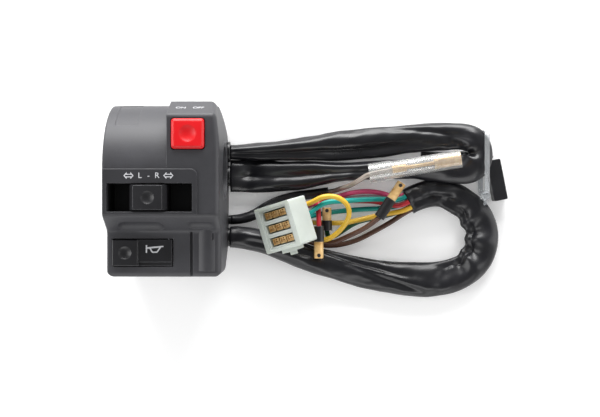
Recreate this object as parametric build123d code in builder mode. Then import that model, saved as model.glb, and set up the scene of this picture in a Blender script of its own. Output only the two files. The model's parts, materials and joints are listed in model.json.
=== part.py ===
from build123d import *
import os
from math import atan2, cos, degrees, pi, radians, sin, sqrt, tan

os.makedirs("parts", exist_ok=True)

# A handlebar switch cluster lying on its flat back, in millimetres. X runs along the handlebar, Y points
# to the red button and Z out of the face with the controls. The origin is on the bar's axis, halfway
# along the housing.

# Driving sizes of the housing
BAR_RADIUS = 11.1
HOUSING_LENGTH = 45.8
BARREL_RADIUS = 28.0
WALL = 1.8
SADDLE_WALL = 2.2
BACK_DEPTH = 21.0
PANEL_PROUD = 1.0
DECK_Z = 18.5
SLOPE_TOP_Y = -17.9
SLOPE_LOW_Y = -24.2
CHIN_Y = -42.5
CHIN_BACK_Y = -30.0
RED_BOX_TOP_Y = 22.0
RED_BOX_BACK_Y = 28.4
RED_BOX_BACK_Z = 15.0
SIDE_TAPER_Y = 7.0
SIDE_TAPER = 2.6

# Clearances that fitting pieces share
SLIDE_GAP = 0.2
PIN_GAP = 0.05
SOFT_GAP = 0.3
OVERRUN = 2.0

LEFT = -HOUSING_LENGTH / 2
RIGHT = HOUSING_LENGTH / 2
RED_BOX_INSET = 20.5
RED_BOX_LEFT = RIGHT - RED_BOX_INSET
FACE_Z = BARREL_RADIUS
PANEL_Z = FACE_Z + PANEL_PROUD
SADDLE_RADIUS = BAR_RADIUS + SADDLE_WALL
INNER_LEFT = LEFT + WALL
INNER_RIGHT = RIGHT - WALL
INNER_DECK_Z = DECK_Z - WALL
FLOOR_Z = -BACK_DEPTH

# Housing screws, with one boss high on the left and one low on the right
UPPER_SCREW_SHARES = (0.61, 0.70)
LOWER_SCREW_SHARES = (0.72, 0.80)
SCREW_SEAT_SHARES = (0.67, 0.38)
SCREW_RADIUS = 2.0
SCREW_HEAD_RADIUS = 3.7
SCREW_HEAD_HEIGHT = 3.2
SCREW_CROSS = (4.0, 1.1)
SCREW_LENGTH = 17.0
BOSS_RADIUS = 3.6
SCREW_PLACES = [
    (LEFT * UPPER_SCREW_SHARES[0], BARREL_RADIUS * UPPER_SCREW_SHARES[1]),
    (RIGHT * LOWER_SCREW_SHARES[0], CHIN_Y * LOWER_SCREW_SHARES[1]),
]
SCREW_SEAT_Z = [-share * BACK_DEPTH for share in SCREW_SEAT_SHARES]
UPPER_BOSS_FAR_Y = SCREW_PLACES[0][1] + BOSS_RADIUS
BOSS_TOP_Z = [sqrt((BARREL_RADIUS - WALL)**2 - UPPER_BOSS_FAR_Y**2) + WALL, INNER_DECK_Z + WALL / 2]

# Turn switch: its slot in the panel, and the switch frame behind it
SLOT_LEFT_MARGIN = 2.0
SLOT_RIGHT_MARGIN = 10.4
SLOT_Y = -10.7
SLOT_WIDTH = 11.2
SLOT_LENGTH = HOUSING_LENGTH - SLOT_LEFT_MARGIN - SLOT_RIGHT_MARGIN
SLOT_CENTRE = (LEFT + SLOT_LEFT_MARGIN + SLOT_LENGTH / 2, SLOT_Y)
KNOB_BASE = (14.6, 10.4)
KNOB_STOP = 2.4
KNOB_TRAVEL = (SLOT_LENGTH - KNOB_BASE[0]) / 2 - KNOB_STOP
KNOB_PUSH = 2.0
FRAME_WALL = 1.0
FRAME_TOP_DEPTH = 1.4
FRAME_TOP_Z = FACE_Z - FRAME_TOP_DEPTH
FRAME_LOW_Z = SADDLE_RADIUS + SLIDE_GAP + SOFT_GAP
BOARD_THICKNESS = 1.3
CONTACT_THICKNESS = 0.6

# Red button
RED_INSET = 12.2
RED_Y = 14.2
RED_CENTRE = (RIGHT - RED_INSET, RED_Y)
RED_SIZE = (12.9, 11.8)
RED_PROUD = 1.4
RED_TOP_Z = FACE_Z + RED_PROUD
RED_CASE_DEPTH = 9.8
RED_CASE_TOP_Z = FACE_Z - RED_CASE_DEPTH
RED_CASE_HEIGHT = 7.0
RED_CASE_SIZE = (12.4, 11.4)
RED_EAR_HOLE_REACH = 2.3

# Horn button, hinged near its right end
HORN_LEFT_MARGIN = 2.5
HORN_RIGHT_MARGIN = 19.6
HORN_LEFT = LEFT + HORN_LEFT_MARGIN
HORN_RIGHT = RIGHT - HORN_RIGHT_MARGIN
HORN_LOW_Y = -37.9
HORN_TOP_Y = -27.5
HORN_PROUD = 2.1
HORN_SQUARE = 10.2
HORN_GAP = 0.45
HORN_AXIS_INSET = 1.8
HORN_AXIS_DEPTH = 6.1
HORN_BASE_DEPTH = 12.5
HORN_AXIS_X = HORN_RIGHT - HORN_AXIS_INSET
HORN_AXIS_Z = DECK_Z - HORN_AXIS_DEPTH
HORN_BASE_Z = DECK_Z - HORN_BASE_DEPTH
HORN_BASE_THICKNESS = 1.5

# Sleeves, leads and wires of the harness
SLEEVE_RADIUS = 5.0
FOLD_RADIUS = 4.5
LEAD_RADIUS = 2.0
WIRE_RADIUS = 1.1
BEND_SHARE = 0.45
GLAND_FLANGE = 1.0
SLEEVE_Z = FLOOR_Z + SLEEVE_RADIUS
FOLD_Z = FLOOR_Z + FOLD_RADIUS
LEAD_Z = FLOOR_Z + LEAD_RADIUS + SOFT_GAP
FOLD_EXITS_Y = [-0.7, 9.8]
LEAD_EXIT_Y = -20.0
LOOP_EXIT_Y = -27.5


# A face whose outward normal has this much of X looks to the side
FACING = 0.9


def upright(edge):
    """Whether an edge runs along Z at its middle."""
    return abs((edge % 0.5).Z) > 1 - PIN_GAP / 2


def side_trim(inset):
    """The wedge that narrows the housing's right side towards the red button, moved in by a wall."""
    far_y = BARREL_RADIUS + OVERRUN
    lean = SIDE_TAPER * ((far_y - SIDE_TAPER_Y) / (BARREL_RADIUS - SIDE_TAPER_Y)) ** 2
    near = (RIGHT - inset, SIDE_TAPER_Y)
    far = (RIGHT - inset - lean, far_y)
    with BuildPart() as wedge:
        with BuildSketch(Plane.XY.offset(-BARREL_RADIUS - OVERRUN)):
            with BuildLine():
                TangentArc(near, far, tangent=(0, 1))
                Polyline(far, (RIGHT + OVERRUN, far_y), (RIGHT + OVERRUN, SIDE_TAPER_Y), near)
            make_face()
        extrude(amount=2 * (BARREL_RADIUS + 2 * OVERRUN))
    return wedge.part


def bend_radii(points):
    """One radius for each inner corner, as large as its two runs allow."""
    radii = []
    for before, here, after in zip(points, points[1:], points[2:]):
        run_in = Vector(*here) - Vector(*before)
        run_out = Vector(*after) - Vector(*here)
        half_turn = radians(run_in.get_angle(run_out)) / 2
        radii.append(BEND_SHARE * min(run_in.length, run_out.length) / tan(half_turn))
    return radii


def cord(name, points, radius):
    """A round tube along straight runs joined by tangent arcs."""
    radii = bend_radii(points)
    with BuildPart() as tube:
        with BuildLine() as route:
            FilletPolyline(*points, radius=radii)
        line = route.line
        with BuildSketch(Plane(origin=line @ 0, z_dir=line % 0)):
            Circle(radius)
        sweep(path=line)
    length = sum(edge.length for edge in line.edges())
    volume_share = tube.part.volume / (pi * radius**2 * length)
    radii_text = " ".join(f"{bend:.1f}" for bend in radii)
    print(f"{name}: length {length:.1f}, volume share {volume_share:.3f}, radii {radii_text}")
    tube.part.label = name
    export_step(tube.part, f"parts/{name}.step")


def corner_trim(x, side):
    """What the rounded upright corner of the chin takes off. side is -1 on the left and 1 on the right."""
    with BuildPart() as trim:
        with BuildSketch(Plane.XY.offset(-BARREL_RADIUS - OVERRUN)):
            with Locations((x + side * (OVERRUN - CHIN_CORNER) / 2, CHIN_Y + (CHIN_CORNER - OVERRUN) / 2)):
                Rectangle(CHIN_CORNER + OVERRUN, CHIN_CORNER + OVERRUN)
            with Locations((x - side * CHIN_CORNER, CHIN_Y + CHIN_CORNER)):
                Circle(CHIN_CORNER, mode=Mode.SUBTRACT)
        extrude(amount=2 * (BARREL_RADIUS + 2 * OVERRUN))
    return trim.part


def slope_hollow(x, share, length, radius, depth):
    """A long hollow with round ends that sinks into the slope at a share of its height."""
    lift = radius - depth
    straight = length - 2 * sqrt(radius**2 - lift**2)
    middle_y = SLOPE_TOP_Y - share * slope_run + lift * slope_out[1]
    middle_z = FACE_Z - share * slope_drop + lift * slope_out[2]
    with BuildPart() as hollow:
        with Locations((x, middle_y, middle_z)):
            Cylinder(radius, straight, rotation=(0, 90, 0))
            with Locations((-straight / 2, 0, 0), (straight / 2, 0, 0)):
                Sphere(radius)
    return hollow.part


def screws(name, places, head_radius, head_height, shank_radius, shank_length, cross):
    """Pan screws that point up: the head under each place, the shank above it."""
    with BuildPart() as group:
        for x, y, z in places:
            with BuildSketch(Plane.XY.offset(z - head_height)):
                with Locations((x, y)):
                    Circle(head_radius)
            extrude(amount=head_height)
            with BuildSketch(Plane.XY.offset(z)):
                with Locations((x, y)):
                    Circle(shank_radius)
            extrude(amount=shank_length)
            with BuildSketch(Plane.XY.offset(z - head_height)):
                with Locations((x, y)):
                    Rectangle(*cross)
                    Rectangle(*cross[::-1])
            extrude(amount=head_height / 2, mode=Mode.SUBTRACT)
    group.part.label = name
    export_step(group.part, f"parts/{name}.step")


# Rear housing: the half with the controls. Its outside is a barrel round the bar, a flat face, a slope
# and a lower deck for the horn button. The red button sits in a box that stands out of the barrel.
SLOPE_TOP_RADIUS = 2.4
SLOPE_LOW_RADIUS = 2.5
CHIN_RADIUS = 2.4
RIGHT_EDGE_RADIUS = 2.2
LEFT_EDGE_RADIUS = 0.7
BOX_EDGE_RADIUS = 2.4
BOX_BACK_RADIUS = 3.4
BOX_BACK_WALL = 2.3
CHIN_CORNER = 3.0
PANEL_INSET = 8.6
PANEL_RIGHT = RIGHT - PANEL_INSET
PANEL_TOP_Y = 0.5
PANEL_LOW_Y = -17.2
PANEL_CORNER = 2.5
PANEL_EDGE = 0.35
COLUMN_WIDTH = 11.3
COLUMN_LEFT = RIGHT - COLUMN_WIDTH
COLUMN_PROUD = 1.4
COLUMN_TOP_Y = -22.4
GROOVE_WIDTH = 1.2
GROOVE_DEPTH = 1.2
SCOOP_LENGTH = 18.5
SCOOP_RADIUS = 4.5
SCOOP_DEPTH = 1.3
SCOOP_SHARE = 0.66
DISH_LENGTH = 10.4
DISH_RADIUS = 3.5
DISH_DEPTH = 1.0
DISH_SHARE = 0.6
DISH_OFFSET = 2.0
POCKET_SIZE = (2.1, 2.8)
POCKET_INSET = (2.7, 3.8)
POCKET_DEPTH = 1.2
SLOPE_WALL = 4.0
RED_WINDOW_GAP = 0.35
RED_WINDOW_CORNER = 1.25
MARK_DEPTH = 0.25
MARK_MARGIN = 3.9
MARK_LEFT = LEFT + MARK_MARGIN
MARK_WIDTH = 9.0
MARK_LOW_ANGLE = 10.0
MARK_SWEEP = 40.0
SWITCH_BOSS_RADIUS = 2.2
SWITCH_SCREW_RADIUS = 0.9
SWITCH_HEAD_RADIUS = 1.6
SWITCH_HEAD_HEIGHT = 1.2
SWITCH_CROSS = (1.8, 0.5)
EAR_THICKNESS = 1.5
FRAME_EAR_DEPTH = 4.5
FRAME_EAR_Z = FACE_Z - FRAME_EAR_DEPTH
FRAME_EAR_REACH = 4.8
FRAME_EAR_X_SHARES = (-0.66, 0.31)
HORN_BOSS_REACH = 3.9
HORN_BOSS_X = HORN_RIGHT + HORN_BOSS_REACH
HORN_BOSS_Y_SHARES = (0.69, 0.84)
RED_BOSS_RADIUS = 1.7
RED_BOSS_DEPTHS = (5.4, 1.2)

slope_run = SLOPE_TOP_Y - SLOPE_LOW_Y
slope_drop = FACE_Z - DECK_Z
slope_length = sqrt(slope_run**2 + slope_drop**2)
slope_shift_y = SLOPE_WALL * slope_drop / slope_length
slope_out = (0, -slope_drop / slope_length, slope_run / slope_length)
inner_face_z = FACE_Z - WALL
column_middle_x = (COLUMN_LEFT + RIGHT) / 2
column_radius = (RIGHT - COLUMN_LEFT) / 2
frame_inner = (SLOT_LENGTH - 2 * SLIDE_GAP, SLOT_WIDTH - 2 * SLIDE_GAP)
frame_length = frame_inner[0] + 2 * FRAME_WALL
frame_width = frame_inner[1] + 2 * FRAME_WALL
frame_top_y = SLOT_CENTRE[1] + frame_width / 2
frame_ear_places = [(share * RIGHT, frame_top_y + FRAME_EAR_REACH / 2) for share in FRAME_EAR_X_SHARES]
horn_centre = ((HORN_LEFT + HORN_RIGHT) / 2, (HORN_LOW_Y + HORN_TOP_Y) / 2)
horn_size = (HORN_RIGHT - HORN_LEFT, HORN_TOP_Y - HORN_LOW_Y)
horn_boss_places = [(HORN_BOSS_X, share * CHIN_Y) for share in HORN_BOSS_Y_SHARES]
horn_deck_z = HORN_BASE_Z + HORN_BASE_THICKNESS
red_window = (RED_SIZE[0] + 2 * RED_WINDOW_GAP, RED_SIZE[1] + 2 * RED_WINDOW_GAP)
red_ear_offset = RED_CASE_SIZE[0] / 2 + RED_EAR_HOLE_REACH
red_ear_places = [(RED_CENTRE[0] + side * red_ear_offset, RED_CENTRE[1]) for side in (-1, 1)]

with BuildPart() as rear_cavity:
    with BuildSketch(Plane.YZ.offset(INNER_LEFT)):
        with BuildLine():
            CenterArc((0, 0), BARREL_RADIUS - WALL, 0, 90)
            Polyline(
                (0, inner_face_z),
                (SLOPE_TOP_Y + slope_shift_y, inner_face_z),
                (SLOPE_LOW_Y + slope_shift_y, INNER_DECK_Z),
                (CHIN_Y + WALL, INNER_DECK_Z),
                (CHIN_Y + WALL, 0),
                (BARREL_RADIUS - WALL, 0),
            )
        make_face()
    extrude(amount=HOUSING_LENGTH - 2 * WALL)
    with BuildSketch(Plane.YZ.offset(RED_BOX_LEFT + WALL)):
        with BuildLine():
            Polyline(
                (0, inner_face_z),
                (RED_BOX_TOP_Y - WALL / 2, inner_face_z),
                (RED_BOX_BACK_Y - BOX_BACK_WALL, RED_BOX_BACK_Z),
                (RED_BOX_BACK_Y - BOX_BACK_WALL, 0),
                (0, 0),
                close=True,
            )
        make_face()
    extrude(amount=INNER_RIGHT - RED_BOX_LEFT - WALL)
    add(side_trim(WALL), mode=Mode.SUBTRACT)

with BuildPart() as rear_housing:
    with BuildSketch(Plane.YZ.offset(LEFT)):
        with BuildLine():
            CenterArc((0, 0), BARREL_RADIUS, 0, 90)
            FilletPolyline(
                (0, FACE_Z),
                (SLOPE_TOP_Y, FACE_Z),
                (SLOPE_LOW_Y, DECK_Z),
                (CHIN_Y, DECK_Z),
                (CHIN_Y, 0),
                radius=[SLOPE_TOP_RADIUS, SLOPE_LOW_RADIUS, CHIN_RADIUS],
            )
            Line((CHIN_Y, 0), (BARREL_RADIUS, 0))
        make_face()
    extrude(amount=HOUSING_LENGTH)
    with BuildSketch(Plane.YZ.offset(RED_BOX_LEFT)):
        with BuildLine():
            FilletPolyline(
                (0, FACE_Z),
                (RED_BOX_TOP_Y, FACE_Z),
                (RED_BOX_BACK_Y, RED_BOX_BACK_Z),
                (RED_BOX_BACK_Y, 0),
                radius=[BOX_EDGE_RADIUS, BOX_BACK_RADIUS],
            )
            Line((RED_BOX_BACK_Y, 0), (0, 0))
            Line((0, 0), (0, FACE_Z))
        make_face()
    extrude(amount=RIGHT - RED_BOX_LEFT)
    add(side_trim(0), mode=Mode.SUBTRACT)
    # The front edges of the right side are well rounded, those of the left side only broken
    right_side = rear_housing.faces().filter_by(lambda face: face.normal_at().X > FACING)
    right_edges = right_side.edges().filter_by(lambda edge: edge.center().Z > PIN_GAP and not upright(edge))
    fillet(right_edges, radius=RIGHT_EDGE_RADIUS)
    left_side = rear_housing.faces().sort_by(Axis.X)[0]
    fillet(left_side.edges().filter_by(lambda edge: edge.center().Z > PIN_GAP), radius=LEFT_EDGE_RADIUS)
    # The turn panel stands a little proud of the face
    with BuildSketch(Plane.XY.offset(FACE_Z - WALL)) as panel:
        with Locations(((LEFT + PANEL_EDGE + PANEL_RIGHT) / 2, (PANEL_TOP_Y + PANEL_LOW_Y) / 2)):
            Rectangle(PANEL_RIGHT - LEFT - PANEL_EDGE, PANEL_TOP_Y - PANEL_LOW_Y)
        fillet(panel.vertices().group_by(Axis.X)[-1].sort_by(Axis.Y)[-1], radius=PANEL_CORNER)
    extrude(amount=WALL + PANEL_PROUD)
    fillet(
        rear_housing.faces().filter_by(lambda face: abs(face.center().Z - PANEL_Z) < PIN_GAP).edges(),
        radius=PANEL_EDGE,
    )
    # The half round column on the deck's right, and the groove beside it
    with BuildSketch(Plane.XZ.offset(-COLUMN_TOP_Y)):
        with Locations((column_middle_x, DECK_Z + COLUMN_PROUD - column_radius)):
            Circle(column_radius - SOFT_GAP)
    extrude(amount=COLUMN_TOP_Y - CHIN_Y - CHIN_RADIUS)
    with BuildSketch(Plane.XY.offset(DECK_Z - GROOVE_DEPTH)):
        with Locations((COLUMN_LEFT - GROOVE_WIDTH / 2, (COLUMN_TOP_Y + CHIN_Y) / 2 - OVERRUN)):
            Rectangle(GROOVE_WIDTH, COLUMN_TOP_Y - CHIN_Y)
    extrude(amount=GROOVE_DEPTH + OVERRUN, mode=Mode.SUBTRACT)
    # Finger scoop and a smaller dish in the slope, and a small square pocket in the column
    finger_scoop = slope_hollow(horn_centre[0], SCOOP_SHARE, SCOOP_LENGTH, SCOOP_RADIUS, SCOOP_DEPTH)
    dish_x = column_middle_x - DISH_OFFSET
    small_dish = slope_hollow(dish_x, DISH_SHARE, DISH_LENGTH, DISH_RADIUS, DISH_DEPTH)
    add(finger_scoop, mode=Mode.SUBTRACT)
    add(small_dish, mode=Mode.SUBTRACT)
    with BuildSketch(Plane.XY.offset(DECK_Z + COLUMN_PROUD - POCKET_DEPTH)):
        with Locations((RIGHT - POCKET_INSET[0], COLUMN_TOP_Y - POCKET_INSET[1])):
            Rectangle(*POCKET_SIZE)
    extrude(amount=POCKET_DEPTH + OVERRUN, mode=Mode.SUBTRACT)
    # A shallow plain mark on the barrel
    with BuildSketch(Plane.YZ.offset(MARK_LEFT)):
        with BuildLine():
            outer_arc = CenterArc((0, 0), BARREL_RADIUS + OVERRUN, MARK_LOW_ANGLE, MARK_SWEEP)
            inner_arc = CenterArc((0, 0), BARREL_RADIUS - MARK_DEPTH, MARK_LOW_ANGLE, MARK_SWEEP)
            Line(outer_arc @ 0, inner_arc @ 0)
            Line(outer_arc @ 1, inner_arc @ 1)
        make_face()
    extrude(amount=MARK_WIDTH, mode=Mode.SUBTRACT)
    # Hollow inside, with bosses for the screws and the half tube that seats on the bar
    add(rear_cavity.part, mode=Mode.SUBTRACT)
    for place, top, seat in zip(SCREW_PLACES, BOSS_TOP_Z, SCREW_SEAT_Z):
        with BuildSketch():
            with Locations(place):
                Circle(BOSS_RADIUS)
        extrude(amount=top)
        with BuildSketch():
            with Locations(place):
                Circle(SCREW_RADIUS + PIN_GAP)
        extrude(amount=seat + SCREW_LENGTH + PIN_GAP, mode=Mode.SUBTRACT)
    with BuildSketch(Plane.YZ.offset(LEFT)):
        Circle(SADDLE_RADIUS)
    extrude(amount=HOUSING_LENGTH)
    with BuildSketch(Plane.YZ.offset(LEFT - OVERRUN)):
        Circle(BAR_RADIUS)
    extrude(amount=HOUSING_LENGTH + 2 * OVERRUN, mode=Mode.SUBTRACT)
    # Room for the turn switch, its slot, and the windows of the two buttons
    with BuildSketch(Plane.XY.offset(FRAME_LOW_Z - BOARD_THICKNESS)):
        with Locations(SLOT_CENTRE):
            Rectangle(frame_length + 2 * SLIDE_GAP, frame_width + 2 * SLIDE_GAP)
    extrude(amount=FRAME_TOP_Z + PIN_GAP - FRAME_LOW_Z + BOARD_THICKNESS, mode=Mode.SUBTRACT)
    with BuildSketch(Plane.XY.offset(FRAME_TOP_Z - OVERRUN)):
        with Locations(SLOT_CENTRE):
            Rectangle(SLOT_LENGTH, SLOT_WIDTH)
    extrude(amount=PANEL_Z - FRAME_TOP_Z + 2 * OVERRUN, mode=Mode.SUBTRACT)
    with BuildSketch(Plane.XY.offset(inner_face_z - OVERRUN)):
        with Locations(RED_CENTRE):
            RectangleRounded(*red_window, RED_WINDOW_CORNER)
    extrude(amount=FACE_Z - inner_face_z + 2 * OVERRUN, mode=Mode.SUBTRACT)
    with BuildSketch(Plane.XY.offset(INNER_DECK_Z - OVERRUN)):
        with Locations(horn_centre):
            Rectangle(horn_size[0] + 2 * HORN_GAP, horn_size[1] + 2 * HORN_GAP)
    extrude(amount=WALL + 2 * OVERRUN, mode=Mode.SUBTRACT)
    # Small bosses that carry the three switches
    for place in frame_ear_places:
        with BuildSketch(Plane.XY.offset(FRAME_EAR_Z)):
            with Locations(place):
                Circle(SWITCH_BOSS_RADIUS)
                Circle(SWITCH_SCREW_RADIUS + PIN_GAP, mode=Mode.SUBTRACT)
        extrude(amount=inner_face_z - FRAME_EAR_Z + WALL / 2)
    for place in horn_boss_places:
        with BuildSketch(Plane.XY.offset(horn_deck_z)):
            with Locations(place):
                Circle(SWITCH_BOSS_RADIUS)
                Circle(SWITCH_SCREW_RADIUS + PIN_GAP, mode=Mode.SUBTRACT)
        extrude(amount=INNER_DECK_Z - horn_deck_z + WALL / 2)
    for place, depth in zip(red_ear_places, RED_BOSS_DEPTHS):
        with BuildSketch(Plane.XY.offset(RED_CASE_TOP_Z)):
            with Locations(place):
                Circle(RED_BOSS_RADIUS)
                Circle(SWITCH_SCREW_RADIUS + PIN_GAP, mode=Mode.SUBTRACT)
        extrude(amount=FACE_Z - depth - RED_CASE_TOP_Z)
    add(corner_trim(LEFT, -1), mode=Mode.SUBTRACT)
    add(corner_trim(RIGHT, 1), mode=Mode.SUBTRACT)
    split(bisect_by=Plane.XY, keep=Keep.TOP)
rear_housing.part.label = "rear_housing"
export_step(rear_housing.part, "parts/rear_housing.step")

# Front housing: the plain half behind the bar, with a flat back, two sunk screw holes and the holes
# where the sleeves and the lead leave on the right.
BACK_CORNER = 2.2
CHIN_FOOT_SHARE = 0.6
CHIN_WALL_SHARE = 1.15
SINK_RADIUS = SCREW_HEAD_RADIUS + SLIDE_GAP
SINK_WALL = 1.5
SCREW_HOLE_GAP = 0.2
RIB_THICKNESS = 1.6
RIB_X_SHARES = (-0.45, 0.45)
RIB_HALF_WIDTH = 7.5
GLAND_BODY_RADIUS = 2.5
LEAD_BODY_RADIUS = 1.5
LOOP_FLANGE_RADIUS = 4.0
GLAND_BODY_Z = -15.8

gland_places = [(exit_y, GLAND_BODY_Z) for exit_y in FOLD_EXITS_Y] + [(LOOP_EXIT_Y, SLEEVE_Z + SOFT_GAP)]


def front_profile(inset):
    """The closed outline of the front half, moved in by a wall."""
    radius = BARREL_RADIUS - inset
    back = BACK_DEPTH - inset
    edge_y = sqrt(radius**2 - back**2)
    with BuildLine() as outline:
        CenterArc((0, 0), radius, 0, -degrees(atan2(back, edge_y)))
        FilletPolyline(
            (edge_y, -back),
            (CHIN_BACK_Y + inset * CHIN_FOOT_SHARE, -back),
            (CHIN_Y + inset * CHIN_WALL_SHARE, 0),
            radius=[BACK_CORNER],
        )
        Line((CHIN_Y + inset * CHIN_WALL_SHARE, 0), (radius, 0))
    return outline.edges()


with BuildPart() as front_housing:
    with BuildSketch(Plane.YZ.offset(LEFT)):
        make_face(front_profile(0))
    extrude(amount=HOUSING_LENGTH)
    add(side_trim(0), mode=Mode.SUBTRACT)
    left_side = front_housing.faces().sort_by(Axis.X)[0]
    fillet(left_side.edges().filter_by(lambda edge: edge.center().Z < -PIN_GAP), radius=LEFT_EDGE_RADIUS)
    right_side = front_housing.faces().filter_by(lambda face: face.normal_at().X > FACING)
    right_edges = right_side.edges().filter_by(lambda edge: edge.center().Z < -PIN_GAP and not upright(edge))
    fillet(right_edges, radius=LEFT_EDGE_RADIUS)
    with BuildSketch(Plane.YZ.offset(INNER_LEFT)):
        make_face(front_profile(WALL))
    front_hollow = extrude(amount=HOUSING_LENGTH - 2 * WALL, mode=Mode.PRIVATE)
    add(front_hollow - side_trim(WALL), mode=Mode.SUBTRACT)
    for (x, y), seat in zip(SCREW_PLACES, SCREW_SEAT_Z):
        with BuildSketch(Plane.XY.offset(-BACK_DEPTH)):
            with Locations((x, y)):
                Circle(SINK_RADIUS + SINK_WALL)
        boss = extrude(amount=BACK_DEPTH, mode=Mode.PRIVATE)
        with BuildSketch(Plane.YZ.offset(LEFT)):
            make_face(front_profile(0))
        outline = extrude(amount=HOUSING_LENGTH, mode=Mode.PRIVATE)
        add(boss & outline)
        with BuildSketch(Plane.XY.offset(seat)):
            with Locations((x, y)):
                Circle(SINK_RADIUS)
        extrude(amount=-BACK_DEPTH, mode=Mode.SUBTRACT)
        with BuildSketch(Plane.XY.offset(seat - OVERRUN)):
            with Locations((x, y)):
                Circle(SCREW_RADIUS + SCREW_HOLE_GAP)
        extrude(amount=BACK_DEPTH, mode=Mode.SUBTRACT)
    for share in RIB_X_SHARES:
        with BuildSketch(Plane.YZ.offset(share * RIGHT - RIB_THICKNESS / 2)):
            with Locations((0, -BACK_DEPTH / 2)):
                Rectangle(2 * RIB_HALF_WIDTH, BACK_DEPTH - WALL / 2)
        extrude(amount=RIB_THICKNESS)
    with BuildSketch(Plane.YZ.offset(LEFT)):
        Circle(SADDLE_RADIUS)
    extrude(amount=HOUSING_LENGTH)
    with BuildSketch(Plane.YZ.offset(LEFT - OVERRUN)):
        Circle(BAR_RADIUS)
    extrude(amount=HOUSING_LENGTH + 2 * OVERRUN, mode=Mode.SUBTRACT)
    with BuildSketch(Plane.YZ.offset(INNER_RIGHT - OVERRUN)):
        for place in gland_places:
            with Locations(place):
                Circle(GLAND_BODY_RADIUS + PIN_GAP)
        with Locations((LEAD_EXIT_Y, LEAD_Z + SOFT_GAP)):
            Circle(LEAD_BODY_RADIUS + PIN_GAP)
    extrude(amount=WALL + 2 * OVERRUN, mode=Mode.SUBTRACT)
    add(corner_trim(LEFT, -1), mode=Mode.SUBTRACT)
    add(corner_trim(RIGHT, 1), mode=Mode.SUBTRACT)
    split(bisect_by=Plane.XY, keep=Keep.BOTTOM)
front_housing.part.label = "front_housing"
export_step(front_housing.part, "parts/front_housing.step")

screws(
    "housing_screws",
    [(x, y, seat) for (x, y), seat in zip(SCREW_PLACES, SCREW_SEAT_Z)],
    SCREW_HEAD_RADIUS,
    SCREW_HEAD_HEIGHT,
    SCREW_RADIUS,
    SCREW_LENGTH,
    SCREW_CROSS,
)


# Rubber bushes in the right wall. Each sleeve starts on its bush's flange.
def gland(name, places, body_radius, flanges):
    """Bushes with a body through the wall and a flange outside it."""
    with BuildPart() as bush:
        for (y, z), (flange_y, flange_z, flange_radius) in zip(places, flanges):
            with BuildSketch(Plane.YZ.offset(INNER_RIGHT - FRAME_WALL)):
                with Locations((y, z)):
                    Circle(body_radius)
            extrude(amount=WALL + FRAME_WALL)
            with BuildSketch(Plane.YZ.offset(RIGHT)):
                with Locations((flange_y, flange_z)):
                    Circle(flange_radius)
            extrude(amount=GLAND_FLANGE)
    bush.part.label = name
    export_step(bush.part, f"parts/{name}.step")


gland(
    "sleeve_gland",
    gland_places[:2],
    GLAND_BODY_RADIUS,
    [(exit_y, FOLD_Z, FOLD_RADIUS) for exit_y in FOLD_EXITS_Y],
)
gland(
    "loop_gland",
    gland_places[2:],
    GLAND_BODY_RADIUS,
    [(LOOP_EXIT_Y, SLEEVE_Z + SOFT_GAP, LOOP_FLANGE_RADIUS)],
)
gland(
    "lead_gland",
    [(LEAD_EXIT_Y, LEAD_Z + SOFT_GAP)],
    LEAD_BODY_RADIUS,
    [(LEAD_EXIT_Y, LEAD_Z, LEAD_RADIUS)],
)

# Turn switch. A frame hangs under the panel, with the contact board as its floor. The carriage slides
# in it along X, and the knob on the carriage also pushes in to cancel.
CARRIAGE_LENGTH = 14.0
CARRIAGE_TOP_SHARE = 0.516
KNOB_FACE = (11.3, 9.4)
KNOB_BASE_SHARE = 0.695
KNOB_PROUD = 2.6
KNOB_EDGE = 0.5
KNOB_DIMPLE_RADIUS = 5.2
KNOB_DIMPLE_DEPTH = 0.7
STEM_RADIUS = 2.0
STEM_LENGTH = 3.5
SPRING_RADIUS = 3.5
SPRING_WALL = 0.9
DETENT_X_OFFSET = 5.3
DETENT_RADIUS = 1.0
DETENT_NOTCH_RADIUS = 0.7
DETENT_POCKET = 3.0
DETENT_SPRING_RADIUS = 0.9
DETENT_SPRING_BORE = 0.5
DETENT_SHARE = 0.3125
FIXED_CONTACT_SHARES = (-0.14, 0.0, 0.14)
FIXED_CONTACT_SIZE = (3.4, 5.0)
MOVING_CONTACT_SIZE = (11.2, 4.0)
BOARD_HOLE_RADIUS = 0.8

frame_height = FRAME_TOP_Z - FRAME_LOW_Z
carriage_top_z = FRAME_LOW_Z + CARRIAGE_TOP_SHARE * frame_height
knob_base_z = FRAME_LOW_Z + KNOB_BASE_SHARE * frame_height
knob_shoulder_z = FACE_Z
knob_top_z = FACE_Z + KNOB_PROUD
detent_z = FRAME_LOW_Z + DETENT_SHARE * frame_height
knob_x = SLOT_CENTRE[0] - KNOB_EDGE
knob_y = SLOT_CENTRE[1]
carriage_width = frame_inner[1] - 2 * SLIDE_GAP
contact_z = FRAME_LOW_Z + CONTACT_THICKNESS
moving_contact_z = contact_z + PIN_GAP
carriage_z = moving_contact_z + CONTACT_THICKNESS
spring_seat_z = carriage_top_z - KNOB_PUSH
detent_x = knob_x + DETENT_X_OFFSET
detent_wall_y = knob_y + frame_inner[1] / 2
ball_y = detent_wall_y - SLIDE_GAP / 2 - DETENT_RADIUS

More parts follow.
